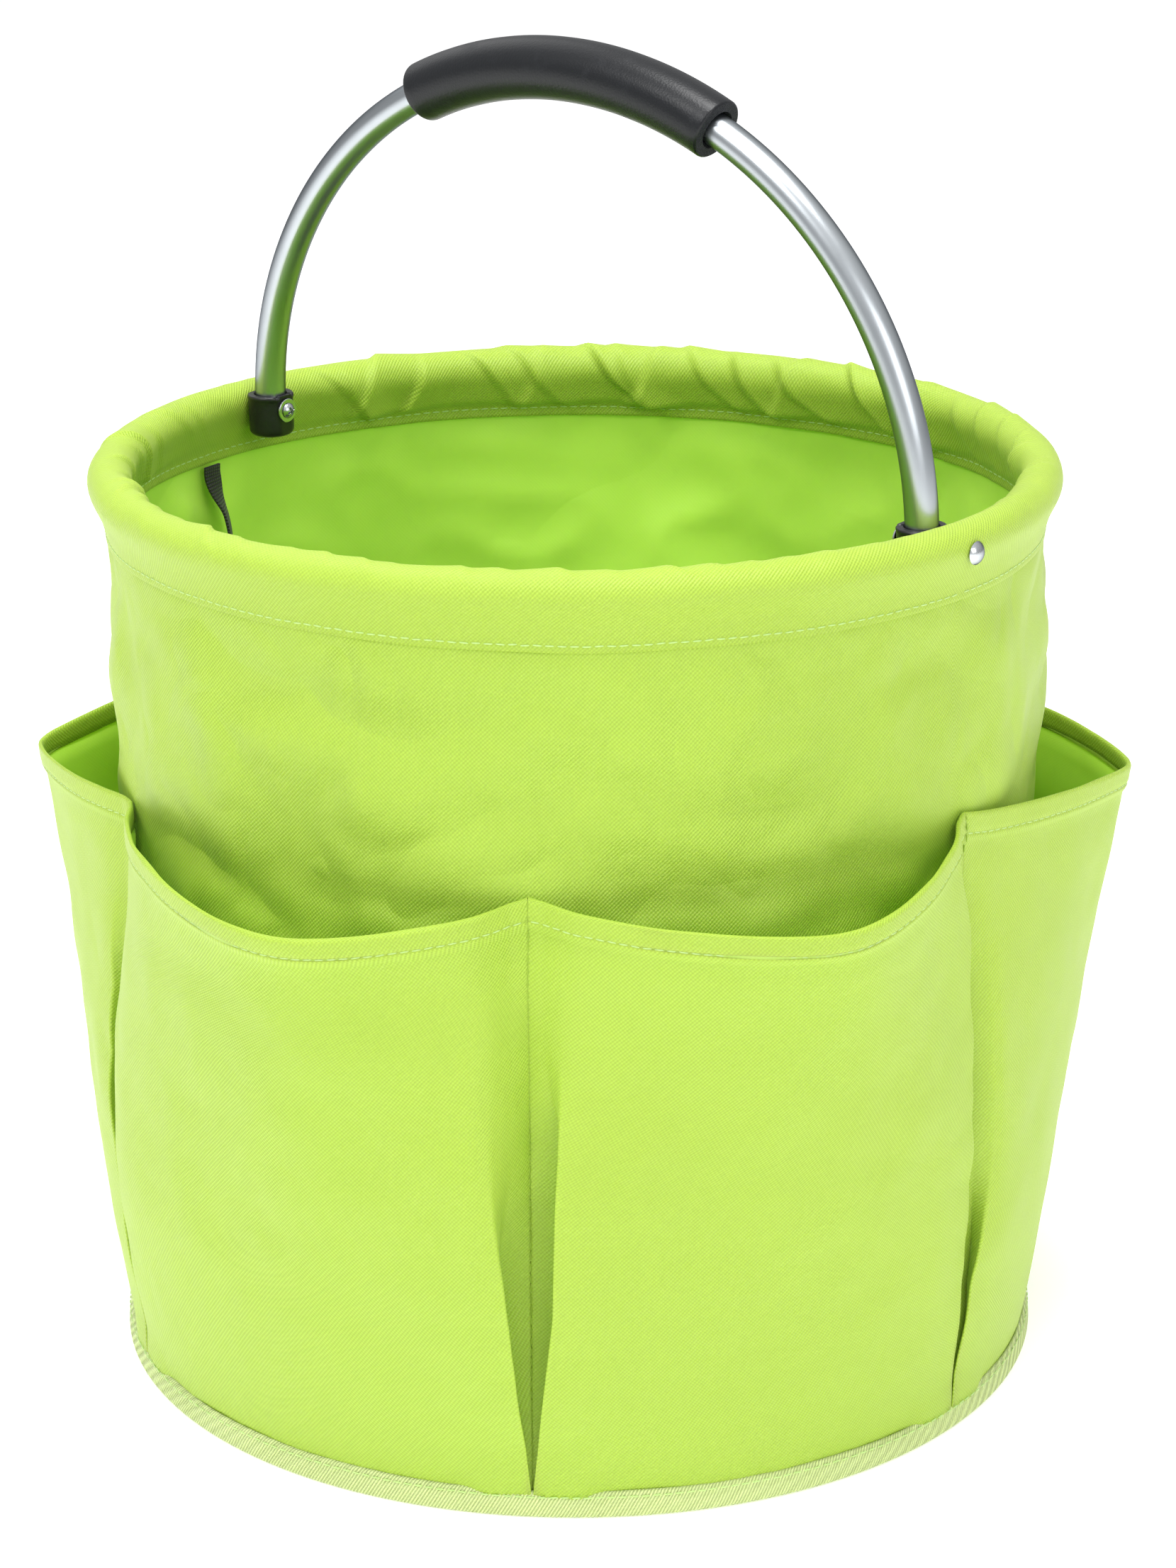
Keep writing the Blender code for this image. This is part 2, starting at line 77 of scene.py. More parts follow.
HOOP_TUBE = (hoop_high.z - hoop_low.z) / 2
HOOP_HEIGHT = (hoop_high.z + hoop_low.z) / 2
HOOP_RADIUS = hoop_high.x - HOOP_TUBE
WALL_RADIUS = wall_high.x
CLOTH = 0.001
WALL_INNER = WALL_RADIUS - CLOTH
SEAM_HEIGHT = wall_high.z
CASING_RADIUS = casing_high.x - HOOP_RADIUS
HEM_BOTTOM = casing_low.z
BINDING_RADIUS = binding_high.x
BINDING_TOP = binding_high.z
TUBE_RADIUS = 0.006
LEG_RADIUS = tube_high.x - TUBE_RADIUS
LEG_BOTTOM = tube_low.z
HANDLE_LEAN = math.radians(1.7)
ARCH_HEIGHT = (tube_high.z - HOOP_HEIGHT - TUBE_RADIUS) / math.cos(HANDLE_LEAN)

CASING_CLOTH = 0.0008
TAPE = 0.0007
THREAD_WIDTH = 0.00062
THREAD_RISE = 0.00046
POCKET_CLOTH = 0.0008
POCKET_EASE = 0.0009                 # from the wall to the middle of the pocket's cloth
SEAM_ANGLES = (1.7, 61.1, 124.7)     # in degrees; each again on the opposite side
POCKET_FOOT = 0.0016
POCKET_HELD = 0.0085                 # up to here it lies flat in the binding
POCKET_TOP = 0.2328                  # the mouth at a seam
SEAM_RISES = (0.0074, 0.0, 0.0, 0.0, -0.0025, 0.0)   # how much higher each seam ends than that
POCKET_DIP = 0.0085                  # how much lower it hangs between two seams
RISE_REACH = 0.034                   # how far along the mouth that is felt
HEM_DEPTH = 0.0074
HEM_START = POCKET_TOP - 0.011       # from here up the hem's thickness grows
HEM_FULL = POCKET_TOP - 0.0082
HEM_THICK = 0.0014
HEM_GROOVE = 0.00060                 # how deep its stitches draw the cloth in
FOLD_ZONE = 0.016                    # along the wall, from a seam to where the face begins

STRAP_ROUTE = (
    (-0.16695, -0.02345, 0.3174),
    (-0.16688, -0.02338, 0.3130),
    (-0.16535, -0.02252, 0.3060),
    (-0.16273, -0.02087, 0.2980),
    (-0.16140, -0.01990, 0.2890),
    (-0.16090, -0.01930, 0.2790),
    (-0.16060, -0.01870, 0.2680),
    (-0.16050, -0.01820, 0.2560),
    (-0.16060, -0.01780, 0.2430),
    (-0.16080, -0.01750, 0.2290),
    (-0.16110, -0.01740, 0.2140),
    (-0.16140, -0.01740, 0.1980),
    (-0.16170, -0.01750, 0.1810),
    (-0.16190, -0.01770, 0.1640),
    (-0.16200, -0.01790, 0.1470),
    (-0.16200, -0.01810, 0.1300),
    (-0.16190, -0.01830, 0.1175),
)


class BagSizes(PropertyGroup):
    """Sizes that a maker would change."""

    pocket_reach: FloatProperty(
        name="Pocket fullness",
        description="How far the mouths stand out, as a share",
        default=1.0,
        min=0.3,
        max=1.1,
    )
    gather_depth: FloatProperty(
        name="Gather depth", description="Height of the puckers inside the rim", default=0.0034, unit="LENGTH"
    )
    wall_softness: FloatProperty(
        name="Wall softness", description="Depth of the wall's soft dents", default=0.0023, unit="LENGTH"
    )
    stitch_length: FloatProperty(
        name="Stitch length", description="Length of one stitch", default=0.0031, unit="LENGTH"
    )
    stitch_pitch: FloatProperty(
        name="Stitch pitch", description="From one stitch to the next", default=0.0041, unit="LENGTH"
    )
    weave_pitch: FloatProperty(
        name="Weave pitch", description="Repeat of the cloth's weave", default=0.0015, unit="LENGTH"
    )
    rib_pitch: FloatProperty(
        name="Tape rib pitch", description="Repeat of the binding tape's ribs", default=0.0016, unit="LENGTH"
    )


class BagColours(PropertyGroup):
    """Colours of the cloths, tapes and metals."""

    cloth: FloatVectorProperty(
        name="Cloth",
        description="Outer face of the cloth",
        default=(0.50, 0.70, 0.078),
        subtype="COLOR",
    )
    coating: FloatVectorProperty(
        name="Coating",
        description="Coated inner face of the cloth",
        default=(0.57, 0.87, 0.12),
        subtype="COLOR",
    )
    tape: FloatVectorProperty(
        name="Tape", description="Binding round the bottom", default=(0.82, 0.95, 0.42), subtype="COLOR"
    )
    thread: FloatVectorProperty(
        name="Thread", description="Sewing thread", default=(0.63, 0.86, 0.33), subtype="COLOR"
    )
    webbing: FloatVectorProperty(
        name="Webbing", description="Strap inside the wall", default=(0.007, 0.008, 0.007), subtype="COLOR"
    )
    foam: FloatVectorProperty(
        name="Foam", description="Grip on the handle", default=(0.007, 0.008, 0.010), subtype="COLOR"
    )
    plastic: FloatVectorProperty(
        name="Plastic",
        description="Sleeves on the handle's ends",
        default=(0.008, 0.009, 0.008),
        subtype="COLOR",
    )
    board: FloatVectorProperty(
        name="Board",
        description="Stiff board in the bottom",
        default=(0.045, 0.047, 0.045),
        subtype="COLOR",
    )
    aluminium: FloatVectorProperty(
        name="Aluminium", description="Hoop and handle", default=(0.58, 0.62, 0.65), subtype="COLOR"
    )
    zinc: FloatVectorProperty(
        name="Zinc", description="Bolts, washers and screws", default=(0.66, 0.69, 0.71), subtype="COLOR"
    )


# Shape tools


def smooth_step(low, high, x):
    """0 below low, 1 above high, and a soft rise between them."""
    t = np.clip((np.asarray(x, float) - low) / (high - low), 0.0, 1.0)
    return t * t * (3.0 - 2.0 * t)


def mix(a, b, share):
    """a where the share is 0, b where it is 1."""
    return a + (b - a) * share


def soft_noise(points, size, offset):
    """Smooth noise from -1 to 1 at each of these points, for lumps of this size."""
    flat = np.asarray(points, float).reshape(-1, 3) / size + offset
    values = [noise.noise(Vector(p)) for p in flat]
    return np.array(values).reshape(np.asarray(points).shape[:-1])


def around(angle, radius, height):
    """Points at these angles in degrees, radii and heights, as one array."""
    turn = np.radians(angle)
    return np.stack(np.broadcast_arrays(radius * np.cos(turn), radius * np.sin(turn), height), -1)


def grid_piece(name, points, uvs, closed, material):
    """A sheet from rows of points. A closed one joins its last column to its first."""
    rows, columns = points.shape[:2]
    spans = columns if closed else columns - 1
    faces = []
    corners = []
    for i in range(rows - 1):
        for j in range(spans):
            k = (j + 1) % columns
            faces.append((i * columns + j, i * columns + k, (i + 1) * columns + k, (i + 1) * columns + j))
            corners += [uvs[i, j], uvs[i, j + 1], uvs[i + 1, j + 1], uvs[i + 1, j]]
    mesh = bpy.data.meshes.new(name)
    mesh.from_pydata(points.reshape(-1, 3).tolist(), [], faces)
    layer = mesh.uv_layers.new(name="cloth")
    layer.uv.foreach_set("vector", np.array(corners, np.float32).ravel())
    mesh.materials.append(material)
    return add_piece(name, mesh)


def add_piece(name, mesh):
    """An object of this mesh in the scene, smooth all over."""
    mesh.shade_smooth()
    piece = bpy.data.objects.new(name, mesh)
    bpy.context.scene.collection.objects.link(piece)
    return piece


def ring_uvs(rows, columns, length, heights):
    """Places in metres on a closed sheet, with one more column than it has points."""
    u = np.linspace(0.0, length, columns + 1)
    return np.stack(np.meshgrid(u, heights, indexing="xy"), -1).reshape(rows, columns + 1, 2)


def thicken(piece, thickness, offset=-1.0, inner=0):
    """Gives a sheet its thickness. inner is the number of its other face's material."""
    solid = piece.modifiers.new("cloth", "SOLIDIFY")
    solid.thickness = thickness
    solid.offset = offset
    solid.material_offset = inner
    return piece


def row_lengths(points):
    """How far each point lies along its row."""
    steps = np.linalg.norm(np.diff(points, axis=-2), axis=-1)
    start = np.zeros(points.shape[:-2] + (1,))
    return np.concatenate([start, np.cumsum(steps, axis=-1)], -1)


def unit(vectors):
    """The same directions with a length of one."""
    return vectors / np.linalg.norm(vectors, axis=-1, keepdims=True)


def spot_at(place, run, values):
    """What a row of values comes to at this length along its run."""
    return np.array([np.interp(place, run, values[:, k]) for k in range(3)])


def ring_angles(columns):
    return np.arange(columns) * 360.0 / columns


def rounded(x, y, radius, angles):
    """Points of a rounded corner about (x, y), at these angles in degrees."""
    turns = [math.radians(angle) for angle in angles]
    return [(x + radius * math.cos(turn), y + radius * math.sin(turn)) for turn in turns]


@contextmanager
def reshaped(piece):
    """The piece's mesh, opened for changes to its points and faces."""
    shell = bmesh.new()
    shell.from_mesh(piece.data)
    yield shell
    shell.to_mesh(piece.data)
    shell.free()
    piece.data.shade_smooth()


def stand_in(piece, node, body="bag"):
    """Has the piece ride on its body, in place of a node of the frame, which it hides."""
    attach(piece, body)
    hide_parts(node)


def even_line(points, count):
    """The same line with evenly spaced points."""
    points = np.asarray(points, float)
    length = row_lengths(points)
    places = np.linspace(0.0, length[-1], count)
    return np.stack([np.interp(places, length, points[:, i]) for i in range(points.shape[1])], -1)


def cut_corners(points):
    """Rounds a line off by cutting each of its corners once."""
    before = 0.75 * points[:-1] + 0.25 * points[1:]
    after = 0.25 * points[:-1] + 0.75 * points[1:]
    middle = np.stack([before, after], 1).reshape(-1, points.shape[1])
    return np.concatenate([points[:1], middle, points[-1:]])


def smooth_route(points, count):
    """Spots on a smooth curve through the points."""
    route = [np.array(p) for p in points]
    route = [2 * route[0] - route[1]] + route + [2 * route[-1] - route[-2]]
    spans = len(points) - 1
    spots = []
    for i in range(count):
        place = spans * i / (count - 1)
        span = min(int(place), spans - 1)
        t = place - span
        a, b, c, d = route[span : span + 4]
        spots.append(
            0.5 * (2 * b + (c - a) * t + (2 * a - 5 * b + 4 * c - d) * t**2 + (3 * b - a - 3 * c + d) * t**3)
        )
    return np.array(spots)


def swept_piece(name, line, across, section, material, closed_ends=True):
    """A bar along a line. across holds the section's first direction at each point of the line."""
    along = unit(np.gradient(line, axis=0))
    across = unit(across - (across * along).sum(1)[:, None] * along)
    up = np.cross(along, across)
    points = np.stack([p + section[:, :1] * a + section[:, 1:2] * u for p, a, u in zip(line, across, up)])
    run = row_lengths(line)
    girth = row_lengths(np.concatenate([section, section[:1]]))
    uvs = np.stack(np.meshgrid(girth, run, indexing="xy"), -1)
    piece = grid_piece(name, points, uvs, True, material)
    with reshaped(piece) as shell:
        if closed_ends:
            bmesh.ops.holes_fill(shell, edges=[edge for edge in shell.edges if edge.is_boundary])
        bmesh.ops.recalc_face_normals(shell, faces=shell.faces)
    return piece


def turned_piece(name, outline, steps, material):
    """A profile of (radius, height) points turned round Z, with its ends closed where they meet the axis."""
    rings = []
    for radius, height in outline:
        rings.append(around(ring_angles(steps), max(radius, 1e-6), height))
    points = np.array(rings)
    lengths = row_lengths(np.array(outline, float))
    uvs = ring_uvs(len(outline), steps, 2 * math.pi * max(r for r, _ in outline), lengths)
    piece = grid_piece(name, points, uvs, True, material)
    with reshaped(piece) as shell:
        bmesh.ops.remove_doubles(shell, verts=shell.verts, dist=0.00001)
        bmesh.ops.recalc_face_normals(shell, faces=shell.faces)
    return piece


def sharpen(piece, angle=40.0):
    piece.data.set_sharp_from_angle(angle=math.radians(angle))


def bead(bands, sides):
    """Points and faces of a ball one unit wide, with its poles on the first axis."""
    tilts = math.pi * np.arange(1, bands) / bands
    tilt, turn = np.meshgrid(tilts, np.radians(ring_angles(sides)), indexing="ij")
    rings = 0.5 * np.stack([np.cos(tilt), np.sin(tilt) * np.cos(turn), np.sin(tilt) * np.sin(turn)], -1)
    points = np.concatenate([[(0.5, 0.0, 0.0)], rings.reshape(-1, 3), [(-0.5, 0.0, 0.0)]])
    last = len(points) - 1
    faces = []
    for j in range(sides):
        k = (j + 1) % sides
        faces.append((0, 1 + j, 1 + k))
        for i in range(1, 1 + sides * (bands - 2), sides):
            faces.append((i + j, i + sides + j, i + sides + k, i + k))
        faces.append((last, last - sides + k, last - sides + j))
    return points, faces


def stitch_row(name, lines, material, seed):
    """Stitches laid end to end along lines of points, each with the cloth's outward direction."""
    sizes = bpy.context.scene.bag_sizes
    ball, facets = bead(6, 8)
    squared = np.sign(ball[:, :1]) * np.abs(2 * ball[:, :1]) ** 0.7 / 2
    shape = np.concatenate([squared, ball[:, 1:]], 1) * (sizes.stitch_length, THREAD_WIDTH, THREAD_RISE)
    wobble = random.Random(seed)
    points = []
    faces = []
    for line, outward in lines:
        run = row_lengths(line)
        count = int(run[-1] / sizes.stitch_pitch)
        spare = run[-1] - count * sizes.stitch_pitch
        for i in range(count):
            place = spare / 2 + (i + 0.5) * sizes.stitch_pitch
            middle = spot_at(place, run, line)
            along = unit(spot_at(place + 0.001, run, line) - middle)
            normal = spot_at(place, run, outward)
            normal = unit(normal - normal.dot(along) * along)
            side = np.cross(normal, along)
            along = along + side * wobble.uniform(-0.09, 0.09)
            middle = middle + side * wobble.uniform(-0.0001, 0.0001) + normal * 0.00006
            base = len(points) * len(shape)
            points.append(middle + shape @ np.stack([along, side, normal]))
            faces += [[base + k for k in facet] for facet in facets]
    mesh = bpy.data.meshes.new(name)
    mesh.from_pydata(np.concatenate(points).tolist(), [], faces)
    mesh.materials.append(material)
    piece = add_piece(name, mesh)
    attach(piece, "bag")
    return piece


# Node tools and shared effects


def made_once(store, name):
    """Has a finish or a node group built when it is first asked for, and finds it again after that."""

    def keep(build):
        def find():
            made = getattr(bpy.data, store)
            return made[name] if name in made else build(name)

        return find

    return keep


def add_node(tree, kind, **inputs):
    """A node with some of its inputs set or linked. Spaces in an input's name are written as underscores."""
    node = tree.nodes.new(kind)
    for name, value in inputs.items():
        feed(tree, node, name.replace("_", " "), value)
    return node


def feed(tree, node, name, value):
    """Sets or links one input, given by its name or its number."""
    socket = node.inputs[name]
    if isinstance(value, bpy.types.NodeSocket):
        tree.links.new(value, socket)
    else:
        socket.default_value = value


def maths(tree, operation, a, b=0.0):
    node = tree.nodes.new("ShaderNodeMath")
    node.operation = operation
    feed(tree, node, 0, a)
    feed(tree, node, 1, b)
    return node.outputs[0]


def remap(tree, value, low, high):
    """The value, from 0 to 1, spread between low and high."""
    node = add_node(tree, "ShaderNodeMapRange", Value=value, To_Min=low, To_Max=high)
    return node.outputs["Result"]


def blend_colours(tree, share, a, b):
    node = tree.nodes.new("ShaderNodeMix")
    node.data_type = "RGBA"
    feed(tree, node, 0, share)
    feed(tree, node, 6, a)
    feed(tree, node, 7, b)
    return node.outputs[2]


def cloud(tree, place, scale, detail, **more):
    """Soft noise from 0 to 1 over these places."""
    node = add_node(tree, "ShaderNodeTexNoise", Vector=place, Scale=scale, Detail=detail, **more)
    return node.outputs["Fac"]


def new_group(name, inputs, outputs):
    """A node group with these (name, socket type, default) inputs and (name, socket type) outputs."""
    group = bpy.data.node_groups.new(name, "ShaderNodeTree")
    for label, kind, default in inputs:
        socket = group.interface.new_socket(label, in_out="INPUT", socket_type=kind)
        if default is not None:
            socket.default_value = default
    for label, kind in outputs:
        group.interface.new_socket(label, in_out="OUTPUT", socket_type=kind)
    start = group.nodes.new("NodeGroupInput")
    end = group.nodes.new("NodeGroupOutput")
    return group, start, end


@made_once("node_groups", "Plain weave")
def weave_group(name):
    """Plain weave: crossing threads that read as fine slanting lines, with uneven yarn."""
    group, start, end = new_group(
        name,
        [
            ("Place", "NodeSocketVector", None),
            ("Pitch", "NodeSocketFloat", 0.0015),
            ("Slant", "NodeSocketFloat", 0.4),
        ],
        [("Height", "NodeSocketFloat"), ("Mask", "NodeSocketFloat")],
    )
    turns = maths(group, "DIVIDE", 2 * math.pi, start.outputs["Pitch"])
    scaled = group.nodes.new("ShaderNodeVectorMath")
    scaled.operation = "SCALE"
    feed(group, scaled, 0, start.outputs["Place"])
    feed(group, scaled, "Scale", turns)
    split = add_node(group, "ShaderNodeSeparateXYZ", Vector=scaled.outputs[0])
    warp = maths(group, "SINE", split.outputs["X"])
    weft = maths(group, "SINE", split.outputs["Y"])
    crossed = maths(group, "MULTIPLY", warp, weft)
    slanted = maths(group, "SINE", maths(group, "SUBTRACT", split.outputs["X"], split.outputs["Y"]))
    slanted = maths(group, "MULTIPLY", slanted, start.outputs["Slant"])
    uneven = cloud(group, start.outputs["Place"], 900.0, 2.0)
    height = maths(group, "ADD", crossed, slanted)
    height = maths(group, "ADD", height, remap(group, uneven, -0.45, 0.45))
    height = remap(group, maths(group, "ADD", maths(group, "MULTIPLY", height, 0.35), 0.5), 0.0, 1.0)
    feed(group, end, "Height", height)
    feed(group, end, "Mask", height)
    return group


@made_once("node_groups", "Cloth tone")
def tone_group(name):
    """Slow drifts of a cloth's colour."""
    group, start, end = new_group(
        name,
        [
            ("Place", "NodeSocketVector", None),
            ("Colour", "NodeSocketColor", (0.5, 0.75, 0.1, 1.0)),
            ("Deep colour", "NodeSocketColor", (0.4, 0.65, 0.05, 1.0)),
            ("Amount", "NodeSocketFloat", 0.5),
        ],
        [("Colour", "NodeSocketColor")],
    )
    wide = cloud(group, start.outputs["Place"], 9.0, 3.0, Roughness=0.55, Distortion=0.6)
    fine = cloud(group, start.outputs["Place"], 120.0, 4.0)
    share = maths(group, "ADD", maths(group, "MULTIPLY", wide, 0.75), -0.12)
    share = maths(group, "ADD", share, maths(group, "MULTIPLY", fine, 0.25))
    share = maths(group, "MULTIPLY", share, start.outputs["Amount"])
    colour = blend_colours(group, share, start.outputs["Colour"], start.outputs["Deep colour"])
    feed(group, end, "Colour", colour)
    return group


@made_once("node_groups", "Soft crumples")
def crumple_group(name):
    """Wide soft folds of a cloth that hangs loosely, with creased ridges between them."""
    group, start, end = new_group(
        name,
        [
            ("Place", "NodeSocketVector", None),
            ("Scale", "NodeSocketFloat", 15.0),
            ("Fine", "NodeSocketFloat", 0.3),
        ],
        [("Height", "NodeSocketFloat")],
    )
    total = None
    for times in (1.0, 2.6):
        scale = maths(group, "MULTIPLY", start.outputs["Scale"], times)
        waves = cloud(group, start.outputs["Place"], scale, 0.5, Distortion=0.35)
        ridge = maths(group, "ABSOLUTE", maths(group, "SUBTRACT", waves, 0.5))
        ridge = maths(group, "POWER", maths(group, "MULTIPLY", ridge, 4.0), 1.25)
        if total is None:
            total = ridge
        else:
            total = maths(group, "ADD", total, maths(group, "MULTIPLY", ridge, start.outputs["Fine"]))
    feed(group, end, "Height", total)
    return group


@made_once("node_groups", "Tape ribs")
def rib_group(name):
    """Ribs across a tape or webbing, rounded, with the yarn's twist along each."""
    group, start, end = new_group(
        name,
        [
            ("Place", "NodeSocketVector", None),
            ("Pitch", "NodeSocketFloat", 0.0016),
            ("Slant", "NodeSocketFloat", 0.6),
        ],
        [("Height", "NodeSocketFloat"), ("Mask", "NodeSocketFloat")],
    )
    split = add_node(group, "ShaderNodeSeparateXYZ", Vector=start.outputs["Place"])
    slanted = maths(group, "MULTIPLY", split.outputs["Y"], start.outputs["Slant"])
    place = maths(group, "DIVIDE", maths(group, "ADD", split.outputs["X"], slanted), start.outputs["Pitch"])
    rib = maths(group, "ABSOLUTE", maths(group, "SINE", maths(group, "MULTIPLY", place, math.pi)))
    cross = maths(group, "DIVIDE", split.outputs["Y"], start.outputs["Pitch"])
    twist = maths(group, "ABSOLUTE", maths(group, "SINE", maths(group, "MULTIPLY", cross, math.pi)))
    uneven = cloud(group, start.outputs["Place"], 1400.0, 2.0)
    height = maths(group, "MULTIPLY", rib, remap(group, twist, 0.72, 1.0))
    height = maths(group, "MULTIPLY", height, remap(group, uneven, 0.75, 1.15))
    feed(group, end, "Height", height)
    feed(group, end, "Mask", maths(group, "SUBTRACT", 1.0, rib))
    return group


@made_once("node_groups", "Fine grain")
def grain_group(name):
    """Fine closed grain, as on moulded foam or plastic, with small scuffs."""
    group, start, end = new_group(
        name,
        [("Place", "NodeSocketVector", None), ("Scale", "NodeSocketFloat", 900.0)],
        [("Height", "NodeSocketFloat"), ("Scuff", "NodeSocketFloat")],
    )
    place, scale = start.outputs["Place"], start.outputs["Scale"]
    cells = add_node(group, "ShaderNodeTexVoronoi", Vector=place, Scale=scale)
    handled = cloud(group, place, 70.0, 6.0, Roughness=0.7)
    scuff = add_node(group, "ShaderNodeMapRange", Value=handled, From_Min=0.56, From_Max=0.74)
    feed(group, end, "Height", maths(group, "ADD", cells.outputs["Distance"], handled))
    feed(group, end, "Scuff", scuff.outputs["Result"])
    return group


@made_once("node_groups", "Drawn metal")
def drawn_metal_group(name):
    """Faint lines left by drawing and brushing, with a thin haze of handling marks."""
    group, start, end = new_group(
        name,
        [("Place", "NodeSocketVector", None), ("Stretch", "NodeSocketVector", (2600.0, 40.0, 1.0))],
        [("Height", "NodeSocketFloat"), ("Haze", "NodeSocketFloat")],
    )
    stretched = group.nodes.new("ShaderNodeVectorMath")
    stretched.operation = "MULTIPLY"
    feed(group, stretched, 0, start.outputs["Place"])
    feed(group, stretched, 1, start.outputs["Stretch"])
    feed(group, end, "Height", cloud(group, stretched.outputs[0], 1.0, 3.0))
    feed(group, end, "Haze", cloud(group, start.outputs["Place"], 60.0, 5.0, Roughness=0.65))
    return group


def new_finish(name):
    """A material and its tree, with a Principled shader ready."""
    material = bpy.data.materials.new(name)
    material.use_nodes = True
    tree = material.node_tree
    return material, tree, tree.nodes["Principled BSDF"]


def place_group(tree, group, **inputs):
    node = tree.nodes.new("ShaderNodeGroup")
    node.node_tree = group
    for name, value in inputs.items():
        feed(tree, node, name.replace("_", " "), value)
    return node


def cloth_place(tree):
    node = tree.nodes.new("ShaderNodeUVMap")
    node.uv_map = "cloth"
    return node.outputs["UV"]


def object_place(tree):
    return tree.nodes.new("ShaderNodeTexCoord").outputs["Object"]


def raise_surface(tree, shader, height, distance, strength=1.0):
    bump = add_node(tree, "ShaderNodeBump", Height=height, Distance=distance, Strength=strength)
    feed(tree, shader, "Normal", bump.outputs["Normal"])


def let_light_through(shader):
    """Thin cloth glows a little with the light on its other side."""
    shader.inputs["Subsurface Weight"].default_value = 0.45
    shader.inputs["Subsurface Radius"].default_value = (1.0, 1.0, 0.4)
    shader.inputs["Subsurface Scale"].default_value = 0.0018


def colour_of(name, share=1.0):
    value = getattr(bpy.context.scene.bag_colours, name)
    return (value[0] * share, value[1] * share, value[2] * share, 1.0)


def deeper(colour, share=0.82):
    """The same dye seen deeper: less blue and red for each share of green lost."""
    red, green, blue, alpha = colour
    return (red * share * 0.93, green * share, blue * share * 0.7, alpha)


def toned(tree, place, colour, deep, amount):
    """A cloth's colour with slow drifts towards a deeper one."""
    node = place_group(tree, tone_group(), Place=place, Colour=colour, Deep_colour=deep, Amount=amount)
    return node.outputs["Colour"]


def raise_cloth(tree, shader, place, weave, weave_depth, scale, fine, depth):
    """Raises the weave, and the soft crumples of the cloth under it."""
    crumples = place_group(tree, crumple_group(), Place=place, Scale=scale, Fine=fine)
    threads = maths(tree, "MULTIPLY", weave.outputs["Height"], weave_depth)
    folds = maths(tree, "MULTIPLY", crumples.outputs["Height"], depth)
    raise_surface(tree, shader, maths(tree, "ADD", threads, folds), 1.0)


def woven_finish(name, crumple_depth):
    """Outer face: woven polyester, a little fuzz on it, sheen where the light grazes."""
    material, tree, shader = new_finish(name)
    solid = object_place(tree)
    pitch = bpy.context.scene.bag_sizes.weave_pitch
    base = colour_of("cloth")
    tone = toned(tree, solid, base, deeper(base), 0.55)
    weave = place_group(tree, weave_group(), Place=cloth_place(tree), Pitch=pitch, Slant=0.80)
    # Painted shade: the colour darkens between the threads, where the weave dips.
    between = remap(tree, weave.outputs["Mask"], 0.56, 0.0)
    feed(tree, shader, "Base Color", blend_colours(tree, between, tone, deeper(base, 0.58)))
    feed(tree, shader, "Roughness", remap(tree, weave.outputs["Mask"], 0.58, 0.40))
    shader.inputs["Specular IOR Level"].default_value = 0.45
    shader.inputs["Sheen Weight"].default_value = 0.05
    shader.inputs["Sheen Roughness"].default_value = 0.5
    let_light_through(shader)
    raise_cloth(tree, shader, solid, weave, 0.00020, 15.0, 0.32, crumple_depth)
    return material


@made_once("materials", "woven_cloth")
def cloth_finish(name):
    return woven_finish(name, 0.0010)


@made_once("materials", "woven_cloth_loose")
def loose_cloth_finish(name):
    return woven_finish(name, 0.0042)


@made_once("materials", "coated_cloth")
def coating_finish(name):
    """Inner face: a thin smooth coating, through which the weave barely shows."""
    material, tree, shader = new_finish(name)
    solid = object_place(tree)
    pitch = bpy.context.scene.bag_sizes.weave_pitch
    base = colour_of("coating")
    tone = toned(tree, solid, base, deeper(base, 0.88), 0.5)
    weave = place_group(tree, weave_group(), Place=cloth_place(tree), Pitch=pitch, Slant=0.2)
    grain = place_group(tree, grain_group(), Place=solid, Scale=420.0)
    scuffs = maths(tree, "MULTIPLY", grain.outputs["Scuff"], 0.10)
    feed(tree, shader, "Base Color", blend_colours(tree, scuffs, tone, deeper(base, 0.7)))
    feed(tree, shader, "Roughness", remap(tree, grain.outputs["Scuff"], 0.40, 0.52))
    shader.inputs["Specular IOR Level"].default_value = 0.42
    shader.inputs["Sheen Weight"].default_value = 0.05
    let_light_through(shader)
    raise_cloth(tree, shader, solid, weave, 0.00002, 8.0, 0.06, 0.0050)
    return material


@made_once("materials", "binding_tape")
def tape_finish(name):
    """Binding: coarse ribbed tape with a pearly yarn."""
    material, tree, shader = new_finish(name)
    pitch = bpy.context.scene.bag_sizes.rib_pitch * 0.8
    ribs = place_group(tree, rib_group(), Place=cloth_place(tree), Pitch=pitch, Slant=0.6)
    base = colour_of("tape")
    tone = toned(tree, object_place(tree), base, deeper(base, 0.85), 0.5)
    # Painted shade: the tape darkens in the grooves between its ribs.
    between = maths(tree, "MULTIPLY", ribs.outputs["Mask"], 0.55)
    feed(tree, shader, "Base Color", blend_colours(tree, between, tone, deeper(base, 0.6)))
    feed(tree, shader, "Roughness", remap(tree, ribs.outputs["Mask"], 0.36, 0.70))
    shader.inputs["Sheen Weight"].default_value = 0.12
    shader.inputs["Sheen Roughness"].default_value = 0.4
    raise_surface(tree, shader, ribs.outputs["Height"], 0.0006, 1.0)
    return material


@made_once("materials", "seam_thread")
def seam_thread_finish(name):
    """The seams' thread, drawn tight into it: the cloth's own green, made deeper as painted shade, for these
    stitches lie in the shaded slits beside the seams.
    """
    material, tree, shader = new_finish(name)
    base = colour_of("cloth")
    tone = toned(tree, object_place(tree), deeper(base, 0.72), deeper(base, 0.5), 0.6)
    feed(tree, shader, "Base Color", tone)
    shader.inputs["Roughness"].default_value = 0.6
    return material


